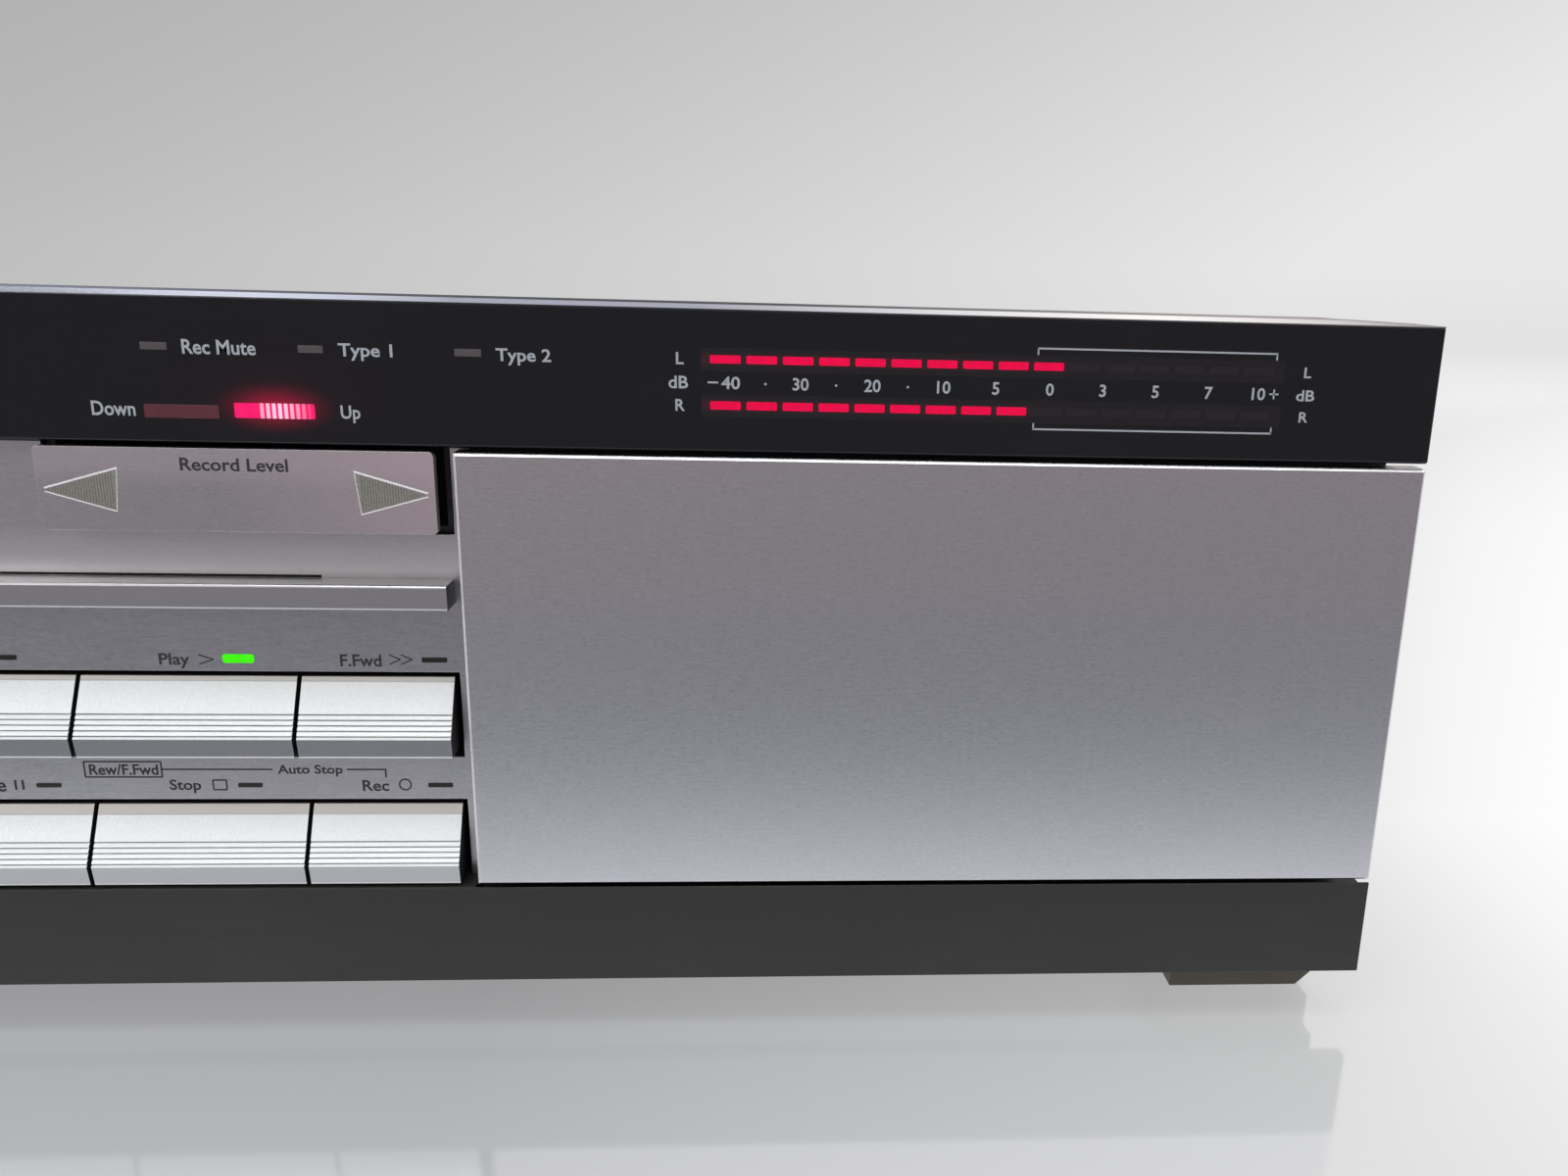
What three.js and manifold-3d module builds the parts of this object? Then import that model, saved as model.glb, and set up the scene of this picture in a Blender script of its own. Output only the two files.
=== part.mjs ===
// A free-standing stereo cassette deck: steel cabinet, light metal front, black display window,
// hinged control door, tilting cassette door, transport keys, level fader and tape drive.
// Units are millimetres. X runs to the right, Y to the back, Z up.
// Pieces are drawn with the front plane at Y zero and the underside of the plinth at Z zero.
import * as THREE from "three";
import { mergeVertices } from "three/addons/utils/BufferGeometryUtils.js";
import Module from "manifold-3d";

const wasm = await Module();
wasm.setup();

// Overall size, and the stack of front pieces from the plinth up
const overallWidth = 450;
const overallDepth = 300;
const footHeight = 10;
const plinthHeight = 19.3;
const stackGap = 0.6;
const grooveHeight = 1;
const windowHeight = 23.7;
const trimThickness = 1;
const trimTipHeight = 0.3;
const trimTipLength = 18;

// Working gaps: between moving pieces, and between pieces that rest on each other
const clearance = 0.35;
const seatGap = 0.3;
const overrun = 1;

// Depth of the front layers
const fasciaRecess = 6;
const fasciaThickness = 2;
const frameThickness = 5;
const windowThickness = 3;
const skinThickness = 2;
const returnDepth = 3.4;
const edgeChamfer = 0.8;
const leafChamfer = 0.45;

// Cabinet
const panelOverhang = 4;
const coverThickness = 1.2;
const coverDrop = 9.5;
const panThickness = 1.5;
const panFlangeGap = 1.6;
const rearThickness = 1.5;
const rimDepth = 8;
const rimWall = 1.6;
const jackLength = 9;
const ventLength = 42;
const ventWidth = 3;
const ventPitch = 9;
const ventColumns = 14;
const ventRows = 2;
const ventRowGap = 14;
const ventBackMargin = 40;

// Feet
const footWidth = 30;
const footDepth = 30;
const footChamfer = 3;
const footFrontMargin = 4.5;
const footBackMargin = 12;

// Control door on the right, with its hinge at the bottom. It takes the width that the keys leave
const doorSideGap = 3.3;
const hingeSetback = 4;
const hingeRise = 4;
const earRadius = 1.7;
const pinRadius = 0.8;
const earThickness = 1.6;
const lugWidth = 3;
const troughDepth = 2.1;
const troughLip = 0.3;
const sideReturnLift = 8;

// Recessed control panel behind that door
const trayWall = 1.6;
const trayInset = 2;
const trayOverhang = 2.4;
const trayDepth = 16;
const panelThickness = 2;
const knobRadius = 11;
const knobLength = 14;
const knobFlutes = 18;
const fluteRadius = 0.9;
const knobShaftRadius = 3;
const potSize = 18;
const potDepth = 8;
const boardThickness = 1.6;
const leverWidth = 5;
const leverHeight = 4;
const leverLength = 7;
const leverStemWidth = 2.4;
const leverTravel = 3;
const jackBezelRadius = 6.5;
const jackBezelLength = 3;
const jackBoreRadius = 3.3;
const jackBarrelRadius = 4.5;
const jackBarrelLength = 14;

// Transport keys in two rows, to the right of the cassette door
const keyColumnGap = 8;
const sideKeyWidth = 27.2;
const centreKeyWidth = 37.8;
const keyGap = 0.8;
const keyHeight = 13.8;
const keyPitch = 24.8;
const keyBase = 0.7;
const keyDepth = 10;
const crestHeight = 3.8;
const ribTop = 7.75;
const lowRibShare = 0.55;
const ribCount = 5;
const ribDepth = 0.35;
const keyToe = 0.6;
const wellMargin = 0.9;
const wellDrop = 1.7;
const keyTravel = 1.5;
const stemInset = 4;
const stemHeight = 6;
const stemLength = 11;
const bracketRim = 2;
const bracketThickness = 2;
const bracketMargin = 3;
const switchSize = 6;
const postRadius = 2;

// Ledge bar above the keys
const ledgeLift = 13.8;
const ledgeHeight = 4.6;
const ledgeChamfer = 0.4;
const ledgeSlotHeight = 0.45;
const ledgeSlotDepth = 0.8;
const ledgeSlotMargin = 22.1;

// Fader rocker above the ledge
const rockerSideGap = 3.2;
const rockerWidth = 65.6;
const rockerHeight = 14.2;
const rockerLift = 9.2;
const rockerTopGap = 0.9;
const rockerFace = 2;
const rockerShoulder = 2.4;
const rockerBodyDepth = 9;
const rockerStemWidth = 12;
const rockerPivotSetback = 16.5;
const rockerPinRadius = 1.2;
const rockerEarDepth = 4.5;
const rockerNotchMargin = 1.4;
const rockerNotchDrop = 1.1;

// Cassette door, holder and well on the left, sized round the cassette
const cassetteDoorMargin = 14.2;
const cassetteDoorLift = 1;
const sideGap = 0.8;
const paneInset = 2.2;
const paneDrop = 10.4;
const paneLift = 15;
const paneRadius = 3;
const paneThickness = 2;
const paneLedge = 2;
const wellWall = 2;
const wellDepth = 13;
const cassetteWidth = 102.4;
const cassetteHeight = 63.8;
const cassetteLift = 8;
const holderWall = 2;
const holderDepth = 16;
const holderLip = 6;
const holderTopMargin = 4;

// Buttons left of the cassette door
const buttonMargin = 11;
const buttonWidth = 20;
const buttonGap = 10.6;
const powerHeight = 12;
const powerDrop = 8.4;
const ejectHeight = 14;
const ejectLift = 5;
const resetWidth = 7;
const resetHeight = 7;
const resetLift = 36;
const buttonProud = 3;
const buttonLength = 19;

// Tape drive
const hubSpacing = 42.5;
const hubRise = 34.5;
const hubRadius = 4.2;
const hubLength = 16;
const hubSplines = 3;
const splineWidth = 1.6;
const splineHeight = 1.1;
const tableRadius = 11;
const tableThickness = 2;
const hubShaftRadius = 2;
const hubTail = 1.6;
const capstanSpacing = 64;
const capstanRise = 9;
const capstanRadius = 1.5;
const capstanReach = 15;
const flywheelSpace = 8;
const flywheelThickness = 6;
const flywheelGap = 3.5;
const flywheelRecess = 1.5;
const flywheelRim = 6;
const flywheelBoss = 6;
const mechanismThickness = 2.5;
const mechanismMargin = 4;
const bracketGap = 3;
const thrustThickness = 2;
const pulleyRadius = 5;
const pulleyRise = 56;
const beltThickness = 1;
const beltWidth = 4;
const motorRadius = 17;
const motorLength = 27;
const motorShaftRadius = 1;
const motorBossRadius = 4;
const motorBossLength = 2;
const reelMotorRadius = 14;
const reelMotorLength = 22;
const reelMotorOffset = 40;
const rollerRadius = 5.5;
const rollerLength = 7;
const rollerGap = 1.5;
const armReach = 12;
const armDrop = 2.5;
const armThickness = 2;
const armWidth = 6;
const armPinRadius = 1;
const guidePinRadius = 1.5;
const headPlateWidth = 46;
const headPlateRise = 7;
const headGap = 1;
const headWidth = 16;
const headHeight = 7;
const headDepth = 9;
const headTravel = 5;
const guideSpacing = 34;

// Boards, transformer and rear fittings
const standoffHeight = 6;
const standoffRadius = 3;
const mainBoardWidth = 250;
const mainBoardMargin = 21;
const mainBoardFront = 70;
const mainBoardBackMargin = 39.5;
const capacitorRadius = 9;
const capacitorHeight = 30;
const coreWidth = 62;
const coreDepth = 26;
const coreHeight = 52;
const coilDepth = 46;
const coreFoot = 3;
const coreMargin = 22;
const jackRadius = 4.2;
const jackBore = 1.7;
const jackPitch = 16;
const jackBlockDepth = 12;
const jackBlockMargin = 7;
const jackSideMargin = 101;
const jackCentreZ = 62;
const jackColumns = 2;
const jackRows = 2;
const inletSideMargin = 51;
const inletZ = 40;
const inletWidth = 26;
const inletHeight = 18;
const inletFlange = 4;
const inletDepth = 14;
const inletWall = 2;
const inletPinRadius = 1.2;
const inletPinSpacing = 10;
const displayBoardMargin = 9;
const displayFrameMargin = 2.4;
const displayBackWall = 2;
const meterLength = 104;
const meterHeight = 4.1;
const meterPitch = 7.9;
const meterMargin = 27;
const meterRise = 0.15;

// Round pieces are drawn with these counts of sides
const roundSides = 32;
const smallSides = 12;
const fluteSides = 6;
const cornerSides = 4;

// Levels worked out from the stack
const halfWidth = overallWidth / 2;
const doorBottom = plinthHeight + stackGap;
const keyLowRow = plinthHeight + keyBase;
const keyTopRow = keyLowRow + keyPitch;
const ledgeBase = keyTopRow + keyHeight + ledgeLift;
const rockerBottom = ledgeBase + ledgeHeight + rockerLift;
const rockerTop = rockerBottom + rockerHeight;
const windowBottom = rockerTop + rockerTopGap;
const doorTop = windowBottom - grooveHeight;
const windowTop = windowBottom + windowHeight;
const frontTop = windowTop + trimThickness;
const fasciaFront = fasciaRecess;
const frameFront = fasciaFront + fasciaThickness;
const frameBack = frameFront + frameThickness;
const cabinetHalf = halfWidth - panelOverhang;
const coverTop = frontTop - coverDrop;
const rimHalf = cabinetHalf - coverThickness - panThickness - 2 * seatGap - rimWall;
const rimTop = coverTop - coverThickness - seatGap - rimWall;
const displayBack = frameBack - displayBackWall;
const rearBack = overallDepth - jackLength;
const rearFront = rearBack - rearThickness;
const buttonLeft = -halfWidth + buttonMargin;
const cassetteDoorWidth = cassetteWidth + 2 * cassetteDoorMargin;
const cassetteDoorLeft = buttonLeft + buttonWidth + buttonGap;
const cassetteDoorRight = cassetteDoorLeft + cassetteDoorWidth;
const cassetteCentre = (cassetteDoorLeft + cassetteDoorRight) / 2;
const paneWidth = cassetteWidth - 2 * paneInset;
const keySpan = 2 * sideKeyWidth + centreKeyWidth + 2 * keyGap;
const keyWellLeft = cassetteDoorRight + keyColumnGap;
const keyRight = keyWellLeft + wellMargin + keySpan;
const keyWellRight = keyRight + wellMargin;
const doorLeft = keyRight + doorSideGap;
const rockerCentre = doorLeft - rockerSideGap - rockerWidth / 2;
const hingeY = hingeSetback;
const doorHingeZ = doorBottom + hingeRise;
const troughFloor = plinthHeight - troughDepth;
const trayLeft = doorLeft + trayInset;
const trayRight = cabinetHalf - trayOverhang;
const trayBottom = troughFloor - trayWall;
const panFlangeHeight = trayBottom - panFlangeGap;
const trayTop = doorTop;
const panelFront = frameFront + trayDepth;
const panelBack = panelFront + panelThickness;
const mechanismFront = frameBack + wellDepth;
const mechanismBack = mechanismFront + mechanismThickness;
const cassetteDoorBottom = doorBottom + cassetteDoorLift;
const cassetteHingeZ = cassetteDoorBottom + hingeRise;
const cassetteBottom = cassetteDoorBottom + cassetteLift;
const hubZ = cassetteBottom + hubRise;
const capstanZ = cassetteBottom + capstanRise;
const flywheelRadius = (capstanSpacing - flywheelSpace) / 2;
const wellLeft = cassetteDoorLeft - sideGap;
const wellRight = cassetteDoorRight + sideGap;
const wellTop = windowBottom;
const mainBoardRight = cabinetHalf - mainBoardMargin;
const mainBoardDepth = rearFront - mainBoardBackMargin - mainBoardFront;
const jackCentreX = cabinetHalf - jackSideMargin;
const inletX = -cabinetHalf + inletSideMargin;
const meterRight = halfWidth - meterMargin;

// Materials
const paint = (color, roughness, metalness) => new THREE.MeshStandardMaterial({ color, roughness, metalness });
const satinMetal = paint(0x9a979b, 0.42, 0.9);
const brightKey = paint(0xc9c8c6, 0.35, 0.8);
const darkPlastic = paint(0x2b2b2d, 0.6, 0);
const plinthPlastic = paint(0x3a3a3b, 0.6, 0);
const blackWindow = paint(0x17181c, 0.15, 0);
const trimMetal = paint(0xb4b8be, 0.35, 0.9);
const blackSteel = paint(0x1f2022, 0.5, 0.3);
const zincSteel = paint(0xa8a9a6, 0.4, 0.8);
const boardGreen = paint(0x2f5a3a, 0.6, 0);
const rubber = paint(0x2a2622, 0.85, 0);
const coreSteel = paint(0x6b6258, 0.6, 0.5);
const smokedPane = paint(0x30302e, 0.1, 0);
const brass = paint(0xb59a5a, 0.35, 0.9);

const deck = new THREE.Group();
deck.position.set(0, -overallDepth / 2, footHeight);

// Solids from three.js shapes
function solid(geometry) {
  const bare = geometry.index ? geometry.toNonIndexed() : geometry.clone();
  bare.deleteAttribute("normal");
  bare.deleteAttribute("uv");
  const merged = mergeVertices(bare);
  return new wasm.Manifold(new wasm.Mesh({
    numProp: 3,
    vertProperties: Float32Array.from(merged.attributes.position.array),
    triVerts: Uint32Array.from(merged.index.array),
  }));
}

function add(name, shape, material) {
  const mesh = shape.getMesh();
  const geometry = new THREE.BufferGeometry();
  geometry.setAttribute("position", new THREE.BufferAttribute(mesh.vertProperties, 3));
  geometry.setIndex(new THREE.BufferAttribute(mesh.triVerts, 1));
  const flat = geometry.toNonIndexed();
  flat.computeVertexNormals();
  const piece = new THREE.Mesh(flat, material);
  piece.name = name;
  deck.add(piece);
}

const join = (first, ...others) => others.reduce((whole, next) => whole.add(next), first);
const cut = (first, ...others) => others.reduce((whole, next) => whole.subtract(next), first);

// A block between two values on each axis
function block(x, y, z) {
  const geometry = new THREE.BoxGeometry(x[1] - x[0], y[1] - y[0], z[1] - z[0]);
  geometry.translate((x[0] + x[1]) / 2, (y[0] + y[1]) / 2, (z[0] + z[1]) / 2);
  return solid(geometry);
}

// A rectangle with round corners, as an outline
function roundedOutline(x, z, radius) {
  const outline = new THREE.Shape();
  const quarter = Math.PI / 2;
  outline.moveTo(x[0] + radius, z[0]);
  outline.lineTo(x[1] - radius, z[0]);
  outline.absarc(x[1] - radius, z[0] + radius, radius, -quarter, 0, false);
  outline.lineTo(x[1], z[1] - radius);
  outline.absarc(x[1] - radius, z[1] - radius, radius, 0, quarter, false);
  outline.lineTo(x[0] + radius, z[1]);
  outline.absarc(x[0] + radius, z[1] - radius, radius, quarter, 2 * quarter, false);
  outline.lineTo(x[0], z[0] + radius);
  outline.absarc(x[0] + radius, z[0] + radius, radius, 2 * quarter, 3 * quarter, false);
  return outline;
}

// An outline seen from the front, carried through from one depth to another
function upright(outline, y, segments = cornerSides) {
  const geometry = new THREE.ExtrudeGeometry(outline, {
    depth: y[1] - y[0],
    bevelEnabled: false,
    curveSegments: segments,
  });
  geometry.rotateX(Math.PI / 2);
  geometry.translate(0, y[1], 0);
  return solid(geometry);
}

const panel = (x, y, z, radius) => upright(roundedOutline(x, z, radius), y);

// A side profile of depth and height points, carried along the width
function prism(points, x) {
  const outline = new THREE.Shape(points.map(([y, z]) => new THREE.Vector2(y, z)));
  const geometry = new THREE.ExtrudeGeometry(outline, { depth: x[1] - x[0], bevelEnabled: false });
  const turn = new THREE.Matrix4().makeBasis(
    new THREE.Vector3(0, 1, 0),
    new THREE.Vector3(0, 0, 1),
    new THREE.Vector3(1, 0, 0),
  );
  geometry.applyMatrix4(turn);
  geometry.translate(x[0], 0, 0);
  return solid(geometry);
}

// A plan of width and depth points, carried up from one height to another
function plan(points, z) {
  const outline = new THREE.Shape(points.map(([x, y]) => new THREE.Vector2(x, y)));
  const geometry = new THREE.ExtrudeGeometry(outline, { depth: z[1] - z[0], bevelEnabled: false });
  geometry.translate(0, 0, z[0]);
  return solid(geometry);
}

// Round bars along each axis
function barX(x, y, z, radius, sides = smallSides) {
  const geometry = new THREE.CylinderGeometry(radius, radius, x[1] - x[0], sides);
  geometry.rotateZ(Math.PI / 2);
  geometry.translate((x[0] + x[1]) / 2, y, z);
  return solid(geometry);
}

function barY(x, y, z, radius, sides = smallSides) {
  const geometry = new THREE.CylinderGeometry(radius, radius, y[1] - y[0], sides);
  geometry.translate(x, (y[0] + y[1]) / 2, z);
  return solid(geometry);
}

function barZ(x, y, z, radius, sides = smallSides) {
  const geometry = new THREE.CylinderGeometry(radius, radius, z[1] - z[0], sides);
  geometry.rotateX(Math.PI / 2);
  geometry.translate(x, y, (z[0] + z[1]) / 2);
  return solid(geometry);
}

// A turned piece about a front to back axis: points of radius and depth, from one end to the other
function turned(points, x, z, sides = roundSides) {
  const profile = points.map(([radius, y]) => new THREE.Vector2(radius, y));
  const geometry = new THREE.LatheGeometry(profile, sides);
  geometry.translate(x, 0, z);
  return solid(geometry);
}

// A wall that runs round an opening
function sleeve(x, y, z, wall) {
  const outer = block([x[0] - wall, x[1] + wall], y, [z[0] - wall, z[1] + wall]);
  return cut(outer, block(x, [y[0] - overrun, y[1] + overrun], z));
}

// Hinge ear: a tongue from the wall behind, with a round nose and a pin hole
function hingeEar(x, z) {
  const tongue = block(x, [hingeY, frameFront + overrun], [z - earRadius, z + earRadius]);
  const nose = barX(x, hingeY, z, earRadius);
  const hole = barX([x[0] - overrun, x[1] + overrun], hingeY, z, pinRadius + seatGap);
  return cut(join(tongue, nose), hole);
}

// Hinge lug on the back of a door, with its stub pin pointing outwards
function hingeLug(x, z, pin) {
  const neck = block(x, [skinThickness - clearance, hingeY], [z - earRadius, z + earRadius]);
  return join(neck, barX(x, hingeY, z, earRadius), barX(pin, hingeY, z, pinRadius));
}

// The wedge that a chamfer takes off an upright front edge
function edgeWedge(edge, inwards, z) {
  const reach = leafChamfer + overrun;
  return plan([
    [edge - inwards * overrun, -overrun],
    [edge + inwards * reach, -overrun],
    [edge - inwards * overrun, reach],
  ], [z[0] - overrun, z[1] + overrun]);
}

// A door leaf: a chamfered skin with returns behind its top and side edges
function doorLeaf(x, z) {
  const skin = prism([
    [skinThickness, z[0]],
    [skinThickness, z[1]],
    [leafChamfer, z[1]],
    [0, z[1] - leafChamfer],
    [0, z[0] + leafChamfer],
    [leafChamfer, z[0]],
  ], x);
  const back = [skinThickness - clearance, skinThickness + returnDepth];
  const rise = [z[0] + sideReturnLift, z[1]];
  return join(
    cut(skin, edgeWedge(x[0], 1, z), edgeWedge(x[1], -1, z)),
    block([x[0], x[0] + skinThickness], back, rise),
    block([x[1] - skinThickness, x[1]], back, rise),
    block(x, back, [z[1] - skinThickness, z[1]]),
  );
}

// Cabinet of folded steel
function makeCabinet() {
  const inner = cabinetHalf - coverThickness;
  const run = [frameBack, rearFront];
  const hood = block([-cabinetHalf, cabinetHalf], run, [0, coverTop]);
  const inside = block([-inner, inner], [run[0] - overrun, run[1] + overrun], [-overrun, coverTop - coverThickness]);
  const vents = [];
  for (let row = 0; row < ventRows; row += 1) {
    const back = rearFront - ventBackMargin - row * (ventLength + ventRowGap);
    for (let column = 0; column < ventColumns; column += 1) {
      const x = (column - (ventColumns - 1) / 2) * ventPitch;
      const wide = [x - ventWidth / 2, x + ventWidth / 2];
      vents.push(block(wide, [back - ventLength, back], [coverTop - 2 * coverThickness, coverTop + overrun]));
    }
  }
  add("top_cover", cut(hood, inside, ...vents), blackSteel);

  const panHalf = inner - seatGap;
  const tray = block([-panHalf, panHalf], run, [0, panFlangeHeight]);
  const hollow = block(
    [-panHalf + panThickness, panHalf - panThickness],
    [run[0] - overrun, run[1] + overrun],
    [panThickness, panFlangeHeight + overrun],
  );
  const posts = [];
  const boardLeft = mainBoardRight - mainBoardWidth;
  const postInset = 2 * standoffRadius;
  for (const x of [boardLeft + postInset, mainBoardRight - postInset]) {
    for (const y of [mainBoardFront + postInset, mainBoardFront + mainBoardDepth - postInset]) {
      posts.push(barZ(x, y, [panThickness - clearance, panThickness + standoffHeight], standoffRadius));
    }
  }
  add("base_pan", join(cut(tray, hollow), ...posts), zincSteel);

  const jackHoles = jackPlaces().map(([x, z]) => {
    return barY(x, [rearFront - overrun, rearBack + overrun], z, jackRadius + seatGap);
  });
  const inletHole = block(
    [inletX - inletWidth / 2 - seatGap, inletX + inletWidth / 2 + seatGap],
    [rearFront - overrun, rearBack + overrun],
    [inletZ - inletHeight / 2 - seatGap, inletZ + inletHeight / 2 + seatGap],
  );
  const back = block([-cabinetHalf, cabinetHalf], [rearFront, rearBack], [0, coverTop]);
  add("rear_panel", cut(back, inletHole, ...jackHoles), blackSteel);
}

// Centres of the sockets on the back
function jackPlaces() {
  const places = [];
  for (let column = 0; column < jackColumns; column += 1) {
    for (let row = 0; row < jackRows; row += 1) {
      const x = jackCentreX + (column - (jackColumns - 1) / 2) * jackPitch;
      places.push([x, jackCentreZ + (row - (jackRows - 1) / 2) * jackPitch]);
    }
  }
  return places;
}

function makeRearFittings() {
  const spanX = ((jackColumns - 1) * jackPitch) / 2 + jackBlockMargin;
  const spanZ = ((jackRows - 1) * jackPitch) / 2 + jackBlockMargin;
  const body = block(
    [jackCentreX - spanX, jackCentreX + spanX],
    [rearFront - jackBlockDepth, rearFront],
    [jackCentreZ - spanZ, jackCentreZ + spanZ],
  );
  const barrels = jackPlaces().map(([x, z]) => barY(x, [rearFront - overrun, overallDepth], z, jackRadius));
  const bores = jackPlaces().map(([x, z]) => barY(x, [rearFront, overallDepth + overrun], z, jackBore));
  add("phono_jacks", cut(join(body, ...barrels), ...bores), brass);

  const halfX = inletWidth / 2;
  const halfZ = inletHeight / 2;
  const shell = block([inletX - halfX, inletX + halfX], [rearFront - inletDepth, rearBack + overrun], [
    inletZ - halfZ, inletZ + halfZ,
  ]);
  const flange = block(
    [inletX - halfX - inletFlange, inletX + halfX + inletFlange],
    [rearBack, rearBack + inletWall],
    [inletZ - halfZ - inletFlange / 2, inletZ + halfZ + inletFlange / 2],
  );
  const cavity = panel(
    [inletX - halfX + inletWall, inletX + halfX - inletWall],
    [rearFront - inletDepth + inletWall, rearBack + inletWall + overrun],
    [inletZ - halfZ + inletWall, inletZ + halfZ - inletWall],
    inletWall,
  );
  const pins = [-1, 1].map((side) => {
    const depth = [rearFront - inletDepth + inletWall / 2, rearBack - inletWall];
    return barY(inletX + (side * inletPinSpacing) / 2, depth, inletZ, inletPinRadius);
  });
  add("mains_inlet", join(cut(join(shell, flange), cavity), ...pins), darkPlastic);
}

// Feet: blocks with their outer side cut back towards the ground
function makeFeet() {
  const fronts = [frameFront + footFrontMargin, rearFront - footBackMargin - footDepth];
  const lefts = [-cabinetHalf, cabinetHalf - footWidth];
  ["front", "rear"].forEach((depthName, row) => {
    ["left", "right"].forEach((sideName, column) => {
      const x = [lefts[column], lefts[column] + footWidth];
      const outer = column === 0 ? x[0] : x[1];
      const inner = column === 0 ? x[1] : x[0];
      const inwards = Math.sign(inner - outer) * footChamfer;
      const outline = new THREE.Shape([
        new THREE.Vector2(inner, -footHeight),
        new THREE.Vector2(outer + inwards, -footHeight),
        new THREE.Vector2(outer, -footHeight + footChamfer),
        new THREE.Vector2(outer, 0),
        new THREE.Vector2(inner, 0),
      ]);
      const y = [fronts[row], fronts[row] + footDepth];
      add(`foot_${depthName}_${sideName}`, upright(outline, y), rubber);
    });
  });
}

// Front frame: the moulding that carries the whole front
function makeFrontFrame() {
  const profile = [
    [frameFront, 0],
    [frameBack, 0],
    [frameBack, windowTop],
    [windowThickness, windowTop],
    [windowThickness, windowBottom],
    [frameFront, windowBottom],
  ];
  const through = [-overrun, frameBack + overrun];
  const rim = sleeve(
    [-rimHalf, rimHalf],
    [frameBack - overrun, frameBack + rimDepth],
    [panThickness + seatGap + rimWall, rimTop],
    rimWall,
  );
  const rimNotch = block(
    [trayLeft, cabinetHalf],
    [frameBack, frameBack + rimDepth + overrun],
    [trayBottom - seatGap, trayTop + seatGap],
  );
  const well = sleeve([wellLeft, wellRight], [frameFront, mechanismFront], [plinthHeight, wellTop], wellWall);
  const pocketWall = (rockerHeight - rockerShoulder) / 4;
  const pocket = sleeve(
    [rockerCentre - rockerWidth / 2, rockerCentre + rockerWidth / 2],
    [frameBack - overrun, rockerPivotSetback + rockerEarDepth],
    [rockerBottom, rockerTop],
    pocketWall,
  );
  const shell = join(prism(profile, [-cabinetHalf, cabinetHalf]), cut(rim, rimNotch), well, pocket);
  const holes = [
    displayBay(0, [-overrun, displayBack]),
    block([trayLeft, trayRight], [-overrun, mechanismFront + overrun], [trayBottom, trayTop]),
    block([wellLeft, wellRight], [-overrun, mechanismFront + overrun], [plinthHeight, wellTop - seatGap]),
    keyWell(keyTopRow, through),
    keyWell(keyLowRow, through),
    rockerHole(),
    doorRelief(frameFront + stackGap),
    ...buttonHoles(through),
  ];
  const ears = [
    hingeEar([wellLeft, wellLeft + earThickness], cassetteHingeZ),
    hingeEar([wellRight - earThickness, wellRight], cassetteHingeZ),
  ];
  add("front_frame", join(cut(shell, ...holes), ...ears), darkPlastic);
}

// Relief beside the control door, where the corner of the door swings in
function doorRelief(back) {
  return block(
    [doorLeft - stackGap, trayLeft + overrun],
    [fasciaFront - overrun, back],
    [plinthHeight - overrun, doorHingeZ],
  );
}

// The shallow bay behind the window, less a gap all round
function displayBay(gap, y) {
  const half = cabinetHalf - displayBoardMargin - gap;
  return block([-half, half], y, [windowBottom + displayFrameMargin + gap, windowTop - displayFrameMargin - gap]);
}

function keyWell(base, y) {
  const low = Math.max(base - wellDrop, plinthHeight);
  return block([keyWellLeft, keyWellRight], y, [low, base + keyHeight + wellMargin]);
}

function rockerHole() {
  const half = rockerWidth / 2;
  const opening = block(
    [rockerCentre - half, rockerCentre + half],
    [frameFront - overrun, rockerPivotSetback + rockerEarDepth + overrun],
    [rockerBottom, rockerTop],
  );
  const run = [rockerBottom - rockerShoulder, rockerTop + rockerShoulder];
  return join(opening, barZ(rockerCentre, rockerPivotSetback, run, rockerPinRadius + seatGap));
}

// The three buttons beside the cassette door: name, places and colour
function buttonList() {
  const middle = buttonLeft + buttonWidth / 2;
  const wide = [buttonLeft, buttonLeft + buttonWidth];
  const narrow = [middle - resetWidth / 2, middle + resetWidth / 2];
  return [
    ["power_button", wide, [doorTop - powerDrop - powerHeight, doorTop - powerDrop]],
    ["eject_button", wide, [doorBottom + ejectLift, doorBottom + ejectLift + ejectHeight]],
    ["reset_button", narrow, [doorBottom + resetLift, doorBottom + resetLift + resetHeight]],
  ];
}

function buttonHoles(y) {
  return buttonList().map(([, x, z]) => {
    return block([x[0] - clearance, x[1] + clearance], y, [z[0] - clearance, z[1] + clearance]);
  });
}

function makeButtons() {
  for (const [name, x, z] of buttonList()) {
    const front = fasciaFront - buttonProud;
    const outline = [
      [front + buttonLength, z[0]],
      [front + buttonLength, z[1]],
      [front + edgeChamfer, z[1]],
      [front, z[1] - edgeChamfer],
      [front, z[0] + edgeChamfer],
      [front + edgeChamfer, z[0]],
    ];
    add(name, prism(outline, x), brightKey);
  }
}

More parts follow.
